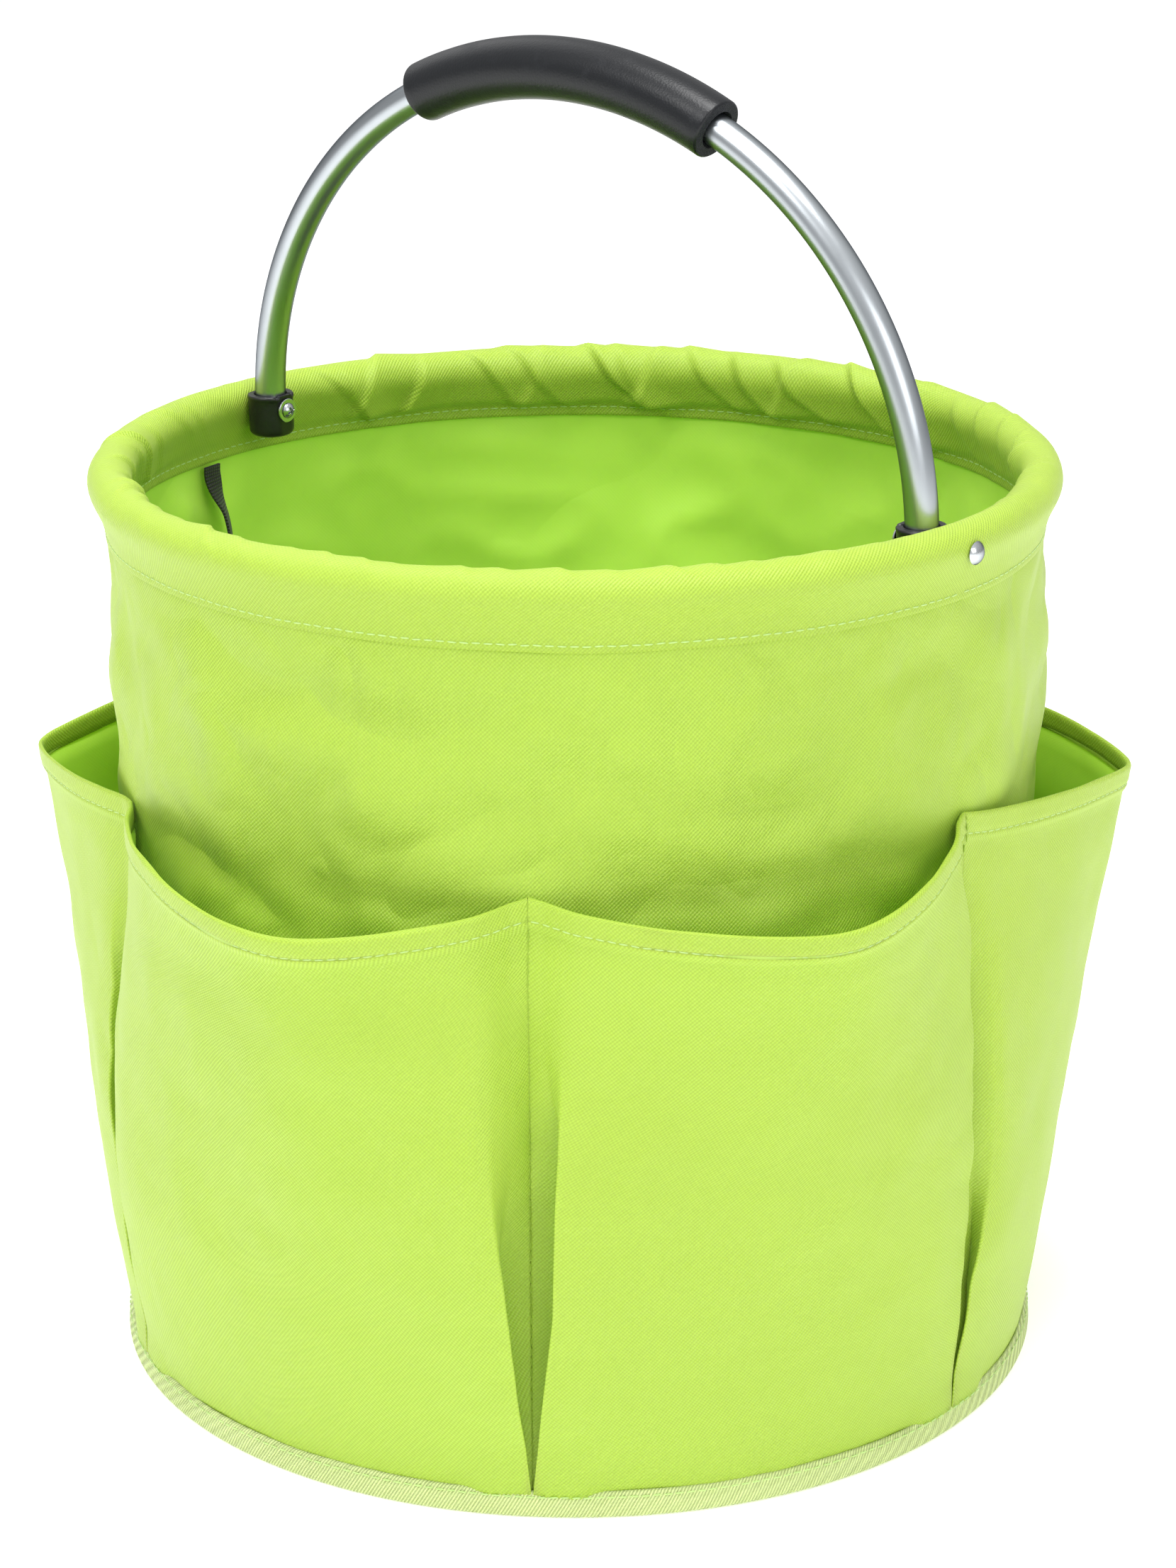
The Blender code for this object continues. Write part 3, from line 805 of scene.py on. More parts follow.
@made_once("materials", "sewing_thread")
def thread_finish(name):
    """Sewing thread: pale, with a slight twist."""
    material, tree, shader = new_finish(name)
    grain = place_group(tree, grain_group(), Place=object_place(tree), Scale=2400.0)
    base = colour_of("thread")
    shaded = blend_colours(tree, remap(tree, grain.outputs["Height"], 0.0, 0.5), base, deeper(base, 0.8))
    feed(tree, shader, "Base Color", shaded)
    shader.inputs["Roughness"].default_value = 0.55
    shader.inputs["Sheen Weight"].default_value = 0.2
    raise_surface(tree, shader, grain.outputs["Height"], 0.0001, 0.6)
    return material


@made_once("materials", "strap_webbing")
def webbing_finish(name):
    """Strap: black polypropylene webbing with close ribs."""
    material, tree, shader = new_finish(name)
    place = cloth_place(tree)
    turned = add_node(tree, "ShaderNodeVectorRotate", Vector=place, Angle=math.radians(90.0))
    ribs = place_group(tree, rib_group(), Place=turned.outputs["Vector"], Pitch=0.0013, Slant=0.0)
    # Painted light and shade: the rib crests are paler, the grooves between them darker.
    painted_lit_crests = blend_colours(tree, ribs.outputs["Mask"], colour_of("webbing", 2.2), colour_of("webbing"))
    feed(tree, shader, "Base Color", painted_lit_crests)
    feed(tree, shader, "Roughness", remap(tree, ribs.outputs["Mask"], 0.5, 0.85))
    shader.inputs["Sheen Weight"].default_value = 0.12
    raise_surface(tree, shader, ribs.outputs["Height"], 0.0004, 1.0)
    return material


def grained_finish(name, colour, scale, wear, pale, roughness, depth, strength, specular=0.5):
    """A dark surface of closed grain, whose scuffs are paler and duller."""
    material, tree, shader = new_finish(name)
    grain = place_group(tree, grain_group(), Place=object_place(tree), Scale=scale)
    scuffs = maths(tree, "MULTIPLY", grain.outputs["Scuff"], wear)
    feed(tree, shader, "Base Color", blend_colours(tree, scuffs, colour_of(colour), colour_of(colour, pale)))
    feed(tree, shader, "Roughness", remap(tree, grain.outputs["Scuff"], *roughness))
    shader.inputs["Specular IOR Level"].default_value = specular
    raise_surface(tree, shader, grain.outputs["Height"], depth, strength)
    return material


@made_once("materials", "foam_skin")
def foam_finish(name):
    """Grip: closed-cell foam with a smooth satin skin."""
    return grained_finish(
        name,
        "foam",
        1100.0,
        wear=0.35,
        pale=2.4,
        roughness=(0.36, 0.5),
        depth=0.00012,
        strength=0.35,
        specular=0.38,
    )


@made_once("materials", "foam_cut")
def foam_cut_finish(name):
    """The grip's cut ends: open cells, dull."""
    material, tree, shader = new_finish(name)
    grain = place_group(tree, grain_group(), Place=object_place(tree), Scale=1500.0)
    # Painted shade: the cut face darkens in the hollows of its cells and pales on their walls.
    open_cells = blend_colours(
        tree, remap(tree, grain.outputs["Height"], 0.0, 0.6), colour_of("foam", 0.7), colour_of("foam", 2.6)
    )
    feed(tree, shader, "Base Color", open_cells)
    shader.inputs["Roughness"].default_value = 0.85
    raise_surface(tree, shader, grain.outputs["Height"], 0.0004, 0.9)
    return material


@made_once("materials", "moulded_plastic")
def plastic_finish(name):
    """Sleeves: black moulded plastic with a low gloss."""
    return grained_finish(
        name, "plastic", 1600.0, wear=0.4, pale=2.6, roughness=(0.36, 0.55), depth=0.00006, strength=0.4
    )


@made_once("materials", "board_plastic")
def board_finish(name):
    """Board: dark sheet plastic with a fine matt grain."""
    return grained_finish(
        name, "board", 700.0, wear=0.5, pale=1.9, roughness=(0.55, 0.72), depth=0.0002, strength=0.5
    )


def metal_finish(name, colour, rough, stretch, anisotropy=0.0):
    """A bare metal with drawn lines and a light haze, with a painted dark reflection where it turns away from
    the eye.
    """
    material, tree, shader = new_finish(name)
    place = cloth_place(tree) if anisotropy else object_place(tree)
    drawn = place_group(tree, drawn_metal_group(), Place=place, Stretch=stretch)
    haze = maths(tree, "MULTIPLY", drawn.outputs["Haze"], 0.25)
    hazed = blend_colours(tree, haze, colour_of(colour), colour_of(colour, 0.8))
    # Painted reflection: the colour darkens towards the edges turned away from the eye, as darker
    # surroundings would look in the metal.
    facing = add_node(tree, "ShaderNodeLayerWeight", Blend=0.5)
    edge = remap(tree, maths(tree, "POWER", facing.outputs["Facing"], 1.5), 0.0, 0.95)
    feed(tree, shader, "Base Color", blend_colours(tree, edge, hazed, colour_of(colour, 0.22)))
    shader.inputs["Metallic"].default_value = 1.0
    shader.inputs["Specular Tint"].default_value = (0.42, 0.44, 0.47, 1.0)
    feed(tree, shader, "Roughness", remap(tree, drawn.outputs["Haze"], rough - 0.05, rough + 0.08))
    shader.inputs["Anisotropic"].default_value = anisotropy
    raise_surface(tree, shader, drawn.outputs["Height"], 0.00003, 0.5)
    return material


@made_once("materials", "drawn_aluminium")
def tube_finish(name):
    return metal_finish(name, "aluminium", 0.30, (2200.0, 14.0, 1.0), anisotropy=0.35)


@made_once("materials", "hoop_aluminium")
def hoop_finish(name):
    return metal_finish(name, "aluminium", 0.36, (700.0, 700.0, 700.0))


@made_once("materials", "bright_zinc")
def zinc_finish(name):
    return metal_finish(name, "zinc", 0.22, (900.0, 900.0, 900.0))


# Shapes of the cloth

# Soft dents of the wall: angle, height, half width, half height, lean in metres per metre, depth
WALL_DENTS = (
    (-166.0, 0.262, 0.009, 0.070, 0.02, -0.0034),
    (-158.0, 0.262, 0.012, 0.070, 0.02, 0.0016),
    (-84.0, 0.287, 0.030, 0.011, -0.45, -0.0016),
    (-70.0, 0.262, 0.026, 0.018, 0.30, 0.0014),
    (-54.0, 0.252, 0.024, 0.020, 0.60, -0.0026),
    (-38.0, 0.285, 0.032, 0.014, 0.25, 0.0013),
    (-27.0, 0.256, 0.020, 0.024, -0.50, -0.0018),
    (-6.0, 0.285, 0.012, 0.040, 0.25, -0.0022),
    (8.0, 0.290, 0.012, 0.040, 0.15, 0.0015),
    (-140.0, 0.244, 0.026, 0.012, 0.0, -0.0042),
    (-120.0, 0.285, 0.012, 0.030, 0.2, -0.0014),
    (118.0, 0.265, 0.022, 0.050, -0.25, -0.0032),
    (98.0, 0.255, 0.020, 0.050, 0.20, 0.0022),
    (150.0, 0.262, 0.026, 0.055, 0.30, 0.0026),
    (135.0, 0.240, 0.022, 0.060, 0.10, -0.0014),
    (62.0, 0.270, 0.020, 0.050, 0.0, -0.0020),
    (38.0, 0.262, 0.024, 0.040, 0.2, 0.0018),
)


def wall_ease(angle, height):
    """How far the wall stands out from its true cylinder, in metres."""
    sizes = bpy.context.scene.bag_sizes
    angle, height = np.broadcast_arrays(np.asarray(angle, float), np.asarray(height, float))
    points = around(angle, WALL_RADIUS, height)
    ease = sizes.wall_softness * soft_noise(points * (1.0, 1.0, 0.75), 0.055, 3.1)
    folded = np.abs(soft_noise(points * (1.0, 1.0, 1.4) + (0.0, 0.0, 0.02), 0.042, 7.7))
    ease = ease + 1.5 * sizes.wall_softness * (folded - 0.22)
    creased = np.abs(soft_noise(points * (1.2, 1.2, 0.8), 0.019, 12.4))
    ease = ease + 0.25 * sizes.wall_softness * (creased - 0.22)
    for middle, level, half_width, half_height, lean, depth in WALL_DENTS:
        turn = (angle - middle + 180.0) % 360.0 - 180.0
        across = np.radians(turn) * WALL_RADIUS + lean * (height - level)
        ease = ease + depth * np.exp(-((across / half_width) ** 2) - ((height - level) / half_height) ** 2)
    held = smooth_step(SEAM_HEIGHT, SEAM_HEIGHT - 0.022, height) * smooth_step(0.010, 0.060, height)
    return ease * held


def make_wall():
    columns = 360
    hidden = [SEAM_HEIGHT + 0.003, SEAM_HEIGHT + 0.006]
    heights = np.concatenate([np.linspace(POCKET_FOOT, SEAM_HEIGHT, 84), hidden])
    angles = ring_angles(columns)
    grid_angle, grid_height = np.meshgrid(angles, heights)
    tuck = -0.0014 * smooth_step(SEAM_HEIGHT - 0.0015, SEAM_HEIGHT + 0.003, grid_height)
    radius = WALL_RADIUS + wall_ease(grid_angle, grid_height) + tuck
    points = around(grid_angle, radius, grid_height)
    uvs = ring_uvs(len(heights), columns, 2 * math.pi * WALL_RADIUS, heights)
    wall = grid_piece("wall_cloth", points, uvs, True, loose_cloth_finish())
    wall.data.materials.append(coating_finish())
    thicken(wall, CLOTH, inner=1)
    stand_in(wall, "bag_wall")


FULL_SIDE = 128.0         # where the casing has most cloth to spare, in degrees
LOOSE_CASING = 0.0024     # how far it bags out there


def casing_section():
    """The casing's outer line: up from the seam, over the hoop, down inside it, and the flat hem."""
    inner_face = WALL_INNER - 0.0013
    seam_out = np.array((WALL_RADIUS + 0.0003, SEAM_HEIGHT))
    seam_in = np.array((inner_face, SEAM_HEIGHT + 0.0005))
    centre = np.array((HOOP_RADIUS, HOOP_HEIGHT))

    def touch(point, side):
        offset = point - centre
        reach = math.hypot(*offset)
        return math.atan2(offset[1], offset[0]) + side * math.acos(CASING_RADIUS / reach)

    start = touch(seam_out, 1)
    end = touch(seam_in, -1) + 2 * math.pi
    turns = np.linspace(start, end, 40)
    arc = centre + CASING_RADIUS * np.stack([np.cos(turns), np.sin(turns)], -1)
    flap = np.array((WALL_RADIUS + 0.0004, SEAM_HEIGHT - 0.0024))
    neck = (seam_out + arc[0]) / 2 + np.array((-0.0007, 0.0))
    hem = np.array((inner_face, HEM_BOTTOM))
    line = np.concatenate([[flap, seam_out, neck], arc, [seam_in, hem]])
    even = even_line(line, 56)
    for _ in range(2):
        even[1:-1] = 0.25 * even[:-2] + 0.5 * even[1:-1] + 0.25 * even[2:]
    return even


def gather_heights(angle, section):
    """Height of the gathers over the casing, for columns at these angles and points along its section."""
    depth = bpy.context.scene.bag_sizes.gather_depth
    draw = random.Random(41)
    run = row_lengths(section)
    top = run[np.argmax(section[:, 1])]
    inner_seam = run[-1] - (SEAM_HEIGHT + 0.0005 - HEM_BOTTOM)
    down = (run - top) / (inner_seam - top)
    swell = smooth_step(-0.60, 0.25, down) * smooth_step(1.04, 0.84, down)
    tuck = smooth_step(0.80, 0.98, down) * 0.16
    reach = (swell + tuck)[:, None]
    around_rim = math.radians(1.0) * HOOP_RADIUS
    place = angle[None, :] * around_rim
    lap = 360.0 * around_rim
    height = np.zeros((len(section), len(angle)))
    at = 0.0
    while at < lap:
        size = draw.uniform(0.45, 1.0)
        half = draw.uniform(0.0045, 0.0100)
        lean = draw.uniform(0.016, 0.034)
        if draw.random() < 0.12:
            lean = -0.5 * lean
        bend = draw.uniform(-0.004, 0.004)
        start_low = draw.uniform(-0.70, 0.05)
        shift = lean * down + bend * np.sin(math.pi * np.clip(down, 0.0, 1.0))
        off = (place - at + shift[:, None] + lap / 2) % lap - lap / 2
        steep = np.where(off > 0, 0.30 * half, 1.9 * half)
        ridge = np.clip(1.0 - np.abs(off) / (1.7 * steep), 0.0, 1.0) ** 1.35
        height += size * reach * ridge * smooth_step(start_low, start_low + 0.40, down)[:, None]
        at += draw.uniform(0.010, 0.024)
    away = np.minimum(np.abs((angle + 90.0) % 180.0 - 90.0), 90.0)
    calm = mix(0.15, 1.0, smooth_step(6.0, 26.0, away))
    far = np.exp(-((((angle - FULL_SIDE + 180.0) % 360.0 - 180.0) / 75.0) ** 2))
    gathers = height * depth * calm[None, :] * mix(0.42, 1.0, far)[None, :]
    loose = smooth_step(-0.1, 0.55, down) * smooth_step(1.0, 0.82, down)
    return gathers + loose[:, None] * (LOOSE_CASING * far * calm)[None, :]


def make_rim():
    columns = 900
    angles = ring_angles(columns)
    section = casing_section()
    along = unit(np.gradient(section, axis=0))
    outward = np.stack([along[:, 1], -along[:, 0]], -1)
    lift = gather_heights(angles, section)
    run = row_lengths(section)
    on_outside = smooth_step(0.010, 0.002, run)[:, None]
    points_at = around(angles[None, :], HOOP_RADIUS, HOOP_HEIGHT) + np.zeros((len(section), 1, 1))
    slack = 0.00035 * soft_noise(points_at, 0.03, 1.5)
    lift = lift + slack * (1.0 - on_outside)
    radius = section[:, :1] + outward[:, :1] * lift
    height = section[:, 1:] + outward[:, 1:] * lift
    wave = 0.0006 * soft_noise(points_at, 0.045, 5.0) * on_outside
    points = around(np.broadcast_to(angles, lift.shape), radius, height + wave)
    uvs = ring_uvs(len(section), columns, 2 * math.pi * HOOP_RADIUS, run)
    casing = grid_piece("rim_casing_cloth", points, uvs, True, cloth_finish())
    casing.data.materials.append(coating_finish())
    thicken(casing, CASING_CLOTH, inner=1)
    stand_in(casing, "rim_casing")

    def line_at(length):
        row = int(np.argmin(np.abs(run - length)))
        line = np.concatenate([points[row], points[row][:1]])
        radial = around(np.append(angles, angles[0]), 1.0, 0.0)
        return line, radial * outward[row, 0] + np.array((0.0, 0.0, outward[row, 1]))

    outside = stitch_row("rim_stitches_outside", [line_at(0.0030)], thread_finish(), 11)
    inside = stitch_row("rim_stitches_inside", [line_at(run[-1] - 0.0038)], thread_finish(), 12)


# Pockets: number, where along the mouth it peaks, how far, the bend of its first and last flank, roundness
POCKET_SHAPES = (
    (1, 0.62, 0.0345, 1.75, 0.80, 0.0018),
    (2, 0.46, 0.0350, 1.00, 1.05, 0.0060),
    (3, 0.56, 0.0340, 1.10, 0.95, 0.0050),
    (4, 0.50, 0.0345, 1.25, 1.15, 0.0020),
    (5, 0.64, 0.0385, 0.98, 0.82, 0.0052),
    (6, 0.57, 0.0330, 0.82, 1.00, 0.0048),
)


# The folds beside each pocket's two seams: up to which height they stay closed, where they have opened,
# how far the crisp edge lies from the seam, and how far it stands off the wall
SEAM_FOLDS = {
    1: ((0.060, 0.110, 0.0052, 0.0030), (0.070, 0.160, 0.0060, 0.0040)),
    2: ((0.070, 0.160, 0.0065, 0.0040), (0.080, 0.170, 0.0070, 0.0045)),
    3: ((0.075, 0.165, 0.0070, 0.0045), (0.070, 0.150, 0.0060, 0.0040)),
    4: ((0.070, 0.160, 0.0060, 0.0040), (0.110, 0.200, 0.0040, 0.0050)),
    5: ((0.170, 0.232, 0.0062, 0.0040), (0.080, 0.150, 0.0058, 0.0160)),
    6: ((0.120, 0.185, 0.0083, 0.0160), (0.190, 0.236, 0.0020, 0.0084)),
}


# The hem's edge and inside, as (below the top, in from the outer layer)
HEM_TURN = (
    (0.0001, 0.0003),
    (0.0000, 0.0008),
    (0.0006, 0.0013),
    (0.0025, 0.0014),
    (0.0050, 0.0014),
    (HEM_DEPTH + 0.0006, 0.0013),
)


def mouth_reach(shape, t):
    """How far the mouth stands out from the wall at t, from one seam to the next."""
    _, peak, reach, first, last, corner = shape
    t = np.clip(t, 0.0, 1.0)
    rise = reach * (t / peak) ** first
    fall = reach * ((1.0 - t) / (1.0 - peak)) ** last
    joined = -corner * np.log(np.exp(-rise / corner) + np.exp(-fall / corner))
    return np.maximum(joined, 0.0) * reach / (reach - corner * math.log(2.0))


def face_reach(shape, t, height):
    """How far the pocket's face stands out at t and this height."""
    share = np.clip((height - POCKET_HELD) / (POCKET_TOP - POCKET_HELD), 0.0, 1.0) ** 0.86
    grown = smooth_step(0.30, 1.02, share)
    edge = 0.016
    plate = 0.80 * shape[2] * (1.0 - np.exp(-t / edge)) * (1.0 - np.exp(-(1.0 - t) / edge))
    reach = share * mix(plate, mouth_reach(shape, t), grown)
    first, last = SEAM_FOLDS[shape[0]]
    beside = np.maximum(first[3] - 0.009, 0.0) * np.exp(-((t / 0.22) ** 2))
    beside = beside + np.maximum(last[3] - 0.009, 0.0) * np.exp(-(((1.0 - t) / 0.22) ** 2))
    reach = reach + beside * smooth_step(0.010, 0.060, height) * smooth_step(0.220, 0.100, height)
    return reach * bpy.context.scene.bag_sizes.pocket_reach


def fold_corners(shape, length, height, side):
    """The line of the cloth from a seam to the face, as (along the wall, off the wall).

    Low down it runs under the face, turns back and comes out again as a crisp edge beside the seam.
    Higher up the fold opens into a soft valley.
    """
    closed, opened, width, lift = SEAM_FOLDS[shape[0]][0 if side > 0 else 1]
    folded = 1.0 - float(smooth_step(closed, opened, height))
    low = min(1.0, max(0.0, (height - 0.009) / 0.075))
    edge = mix(0.0003, width, low) + 0.25 * width * max(0.0, (height - 0.084) / 0.09)
    overlap = 0.0065

    def face(distance):
        t = distance / length
        return float(face_reach(shape, t if side > 0 else 1.0 - t, height))

    end = np.array((FOLD_ZONE, face(FOLD_ZONE)))
    under = np.array((edge + overlap, 0.0010))
    lip = np.array((edge, max(0.0018, face(edge + 0.004) * 0.96, lift * min(1.0, height / 0.09))))
    lip[1] = min(lip[1], 0.0012 + 0.9 * max(0.0, height - 0.008))
    lip = lip * (1.0 - 0.85 * float(smooth_step(0.150, POCKET_TOP, height)) * folded)
    end[1] = mix(end[1], max(end[1], lip[1] + 0.0005), folded)
    open_under = np.array((0.36 * FOLD_ZONE, 0.50 * face(0.36 * FOLD_ZONE)))
    open_lip = np.array((0.70 * FOLD_ZONE, 0.86 * face(0.70 * FOLD_ZONE)))
    under = mix(open_under, under, folded)
    lip = mix(open_lip, lip, folded)
    start = np.array((0.0, 0.0))

    def near(point, towards):
        way = towards - point
        reach = np.linalg.norm(way)
        step = mix(0.33 * reach, min(0.0010, 0.33 * reach), folded)
        return point + way * step / max(reach, 1e-9)

    return [
        start,
        near(under, start),
        under,
        near(under, lip),
        near(lip, under),
        lip,
        near(lip, end),
        end,
    ]


def pocket_row(shape, length, height):
    """One row of the pocket's cloth, seam to seam."""
    first = fold_corners(shape, length, height, 1)
    last = fold_corners(shape, length, height, -1)
    spots = np.linspace(FOLD_ZONE, length - FOLD_ZONE, 18)[1:-1]
    face = [np.array((s, float(face_reach(shape, s / length, height)))) for s in spots]
    mirrored = [np.array((length - s, h)) for s, h in last[::-1]]
    return cut_corners(cut_corners(np.array(first + face + mirrored)))


def make_pocket(shape, start, end):
    number = shape[0]
    gap = math.degrees(0.00012 / WALL_RADIUS)
    start, end = start + gap, end - gap
    length = math.radians(end - start) * WALL_RADIUS
    levels = np.concatenate(
        [
            np.linspace(POCKET_FOOT, POCKET_HELD, 4)[:-1],
            np.linspace(POCKET_HELD, 0.030, 8)[:-1],
            np.linspace(0.030, POCKET_TOP - 0.0110, 46),
        ]
    )
    below = np.array([0.0092, 0.0082, HEM_DEPTH, 0.0064, 0.0050, 0.0034, 0.0018, 0.0007])
    levels = np.concatenate([levels, POCKET_TOP - below])
    rows = []
    for level in levels:
        line = pocket_row(shape, length, level)
        rows.append((line[:, 0], line[:, 1], np.full(len(line), level), np.zeros(len(line))))
    top = pocket_row(shape, length, POCKET_TOP)
    for drop, inset in HEM_TURN:
        rows.append((top[:, 0], top[:, 1], np.full(len(top), POCKET_TOP - drop), np.full(len(top), inset)))
    along, reach, height, inset = (np.array([row[k] for row in rows]) for k in range(4))
    t = np.clip(along / length, 0.0, 1.0)
    hem = smooth_step(HEM_START, HEM_FULL, height) * HEM_THICK
    hem = hem - HEM_GROOVE * np.exp(-(((height - (POCKET_TOP - HEM_DEPTH)) / 0.0006) ** 2)) * (inset == 0)
    dip = POCKET_DIP * mouth_reach(shape, t) / shape[2]
    dip = dip - SEAM_RISES[number - 1] * np.exp(-along / RISE_REACH)
    dip = dip - SEAM_RISES[number % len(SEAM_RISES)] * np.exp(-(length - along) / RISE_REACH)
    share = np.clip((height - POCKET_FOOT) / (POCKET_TOP - POCKET_FOOT), 0.0, 1.0)
    lowered = height - dip * share
    angle = start + np.degrees(along / WALL_RADIUS)
    seam_near = np.exp(-np.minimum(along, length - along) / 0.020)
    ease = wall_ease(angle, lowered) * seam_near
    places = around(angle, WALL_RADIUS, lowered)
    soft = soft_noise(places, 0.048, 20.0 + number) + 0.45 * soft_noise(places, 0.019, 31.0 + number)
    slack = 0.0014 * soft * smooth_step(0.004, 0.016, reach) * smooth_step(1.0, 0.93, share * (inset == 0))
    slack = slack + 0.0005 * soft * smooth_step(0.004, 0.016, reach)
    radius = WALL_RADIUS + POCKET_EASE + reach + hem - inset + ease + slack
    points = around(angle, radius, lowered)
    run = row_lengths(points)
    uvs = np.stack([run + math.radians(start) * WALL_RADIUS, height + inset * 3], -1)
    pocket = grid_piece(f"pocket_cloth_{number}", points, uvs, False, cloth_finish())
    pocket.data.materials.append(coating_finish())
    thicken(pocket, POCKET_CLOTH, offset=0.0, inner=1)
    stand_in(pocket, f"pocket_{number}")
    row = int(np.argmin(np.abs(levels - (POCKET_TOP - HEM_DEPTH))))
    line = points[row]
    sideways = np.gradient(line, axis=0)
    upright = points[row + 1] - points[row - 1]
    outward = unit(np.cross(sideways, upright))
    line = line + outward * (POCKET_CLOTH / 2)
    stitches = stitch_row(f"pocket_hem_stitches_{number}", [(line, outward)], thread_finish(), 50 + number)


def make_pockets():
    seams = [angle + half for half in (0.0, 180.0) for angle in SEAM_ANGLES]
    for i, shape in enumerate(POCKET_SHAPES):
        end = seams[(i + 1) % len(seams)]
        make_pocket(shape, seams[i], end if end > seams[i] else end + 360.0)
    lines = []
    for angle, rise in zip(seams, SEAM_RISES):
        heights = np.linspace(0.0115, POCKET_TOP + 0.0012, 90)
        hem = 0.0012 * smooth_step(HEM_START, POCKET_TOP - 0.008, heights)
        over = hem * smooth_step(POCKET_TOP + 0.0012, POCKET_TOP - 0.0005, heights)
        radius = WALL_RADIUS + POCKET_EASE + POCKET_CLOTH / 2 + wall_ease(angle, heights) + over
        line = around(angle, radius, heights + rise * heights / POCKET_TOP)
        lines.append((line, around(np.full(90, angle), 1.0, 0.0)))
    stitch_row("pocket_seam_stitches", lines, seam_thread_finish(), 77)


def make_binding():
    """Binding tape: a folded strip whose ribs and slight waves are in its shape."""
    ribs = bpy.context.scene.bag_sizes.rib_pitch
    lap = 2 * math.pi * BINDING_RADIUS
    columns = int(round(lap / ribs)) * 4
    angles = ring_angles(columns)
    outer = BINDING_RADIUS - 0.0012
    inner = bottom_high.x - 0.0019 if bottom_high.x < WALL_INNER else WALL_INNER - 0.0032
    corner = 0.0013
    top = BINDING_TOP + 0.0011
    line = [(outer - 0.0012, top), (outer - 0.0002, top - 0.0012), (outer + 0.0006, 0.0042)]
    line += [(BINDING_RADIUS - 0.0003, corner + 0.0004)]
    line += rounded(BINDING_RADIUS - 0.0002 - corner, corner + 0.0001, corner, (-30.0, -60.0, -88.0))
    line += [(outer - 0.0030, 0.0001), (inner + corner, 0.0001), (inner + 0.0003, 0.0006), (inner, 0.0016)]
    line += [(inner, BINDING_TOP - 0.0018)]
    section = even_line(line, 26)
    run = row_lengths(section)
    along = unit(np.gradient(section, axis=0))
    outward = np.stack([-along[:, 1], along[:, 0]], -1)
    places = around(angles[None, :], outer, section[:, 1:])
    wave = 0.0008 * soft_noise(places, 0.022, 9.0) + 0.0004 * soft_noise(places, 0.008, 2.0)
    turns = np.radians(angles)[None, :] * (columns / 4) + run[:, None] / ribs * 2.6
    rib = 0.00013 * np.sin(turns)
    lift = (wave * smooth_step(0.002, 0.006, section[:, 1:]) + rib) * (section[:, :1] > outer - 0.0035)
    radius = section[:, :1] + outward[:, :1] * lift
    height = np.maximum(section[:, 1:] + outward[:, 1:] * lift, 0.00005)
    height = height + 0.0004 * soft_noise(places, 0.03, 4.0) * smooth_step(0.003, 0.008, section[:, 1:])
    points = around(np.broadcast_to(angles, radius.shape), radius, height)
    uvs = ring_uvs(len(section), columns, lap, run)
    binding = grid_piece("binding_tape_strip", points[::-1], uvs[::-1], True, tape_finish())
    thicken(binding, TAPE)
    stand_in(binding, "base_binding")
    line = around(angles, BINDING_RADIUS - 0.0008, BINDING_TOP - 0.0006)
    line = np.concatenate([line, line[:1]])
    radial = around(np.append(angles, 0.0), 1.0, 0.0)
    sewing = stitch_row("binding_stitches", [(line, radial)], thread_finish(), 91)


def make_bottom_cloth():
    """Bottom cloth: flat on the ground, up a short ramp, and down into the binding."""
    flat = board_high.x + 0.004
    edge = WALL_INNER - 0.0011
    ground = 0.00045
    line = [(0.0004, ground), (flat * 0.35, ground), (flat * 0.7, ground), (flat, ground)]
    line += [(flat + 0.005, 0.0024), (edge - 0.0036, BINDING_TOP - 0.0006)]
    line += [(edge - 0.0016, BINDING_TOP + 0.0008), (edge - 0.0002, BINDING_TOP), (edge, 0.0018)]
    section = cut_corners(even_line(line, 46))
    columns = 240
    angles = ring_angles(columns)
    places = around(angles[None, :], section[:, :1], section[:, 1:])
    creased = smooth_step(flat, flat + 0.006, section[:, :1])
    creased = creased * smooth_step(edge, edge - 0.003, section[:, :1])
    height = section[:, 1:] + 0.0009 * creased * soft_noise(places, 0.012, 6.0)
    points = around(np.broadcast_to(angles, height.shape), section[:, :1], np.maximum(height, ground))
    uvs = points[:, :, :2]
    uvs = np.concatenate([uvs, uvs[:, :1]], 1)
    bottom = grid_piece("bottom_cloth", points, uvs, True, coating_finish())
    bottom.data.materials.append(cloth_finish())
    with reshaped(bottom) as shell:
        middle = [vert for vert in shell.verts if math.hypot(vert.co.x, vert.co.y) < 0.001]
        bmesh.ops.remove_doubles(shell, verts=middle, dist=0.002)
        bmesh.ops.recalc_face_normals(shell, faces=shell.faces)
        if sum(face.normal.z for face in shell.faces) < 0.0:
            bmesh.ops.reverse_faces(shell, faces=shell.faces)
    thicken(bottom, 0.0007, offset=0.0, inner=1)
    stand_in(bottom, "base_panel")


def make_board():
    """Board: a stiff disc with a rounded edge."""
    radius = board_high.x
    soft = 0.0008
    outline = [(radius * k / 8, board_high.z) for k in range(8)]
    outline += rounded(radius - soft, board_high.z - soft, soft, (90.0, 60.0, 30.0, 0.0))
    outline += rounded(radius - soft, board_low.z + soft, soft, (0.0, -30.0, -60.0, -90.0))
    outline += [(radius * 0.5, board_low.z), (0.0, board_low.z)]
    board = turned_piece("bottom_board", outline, 96, board_finish())
    sharpen(board, 50.0)
    stand_in(board, "base_board")


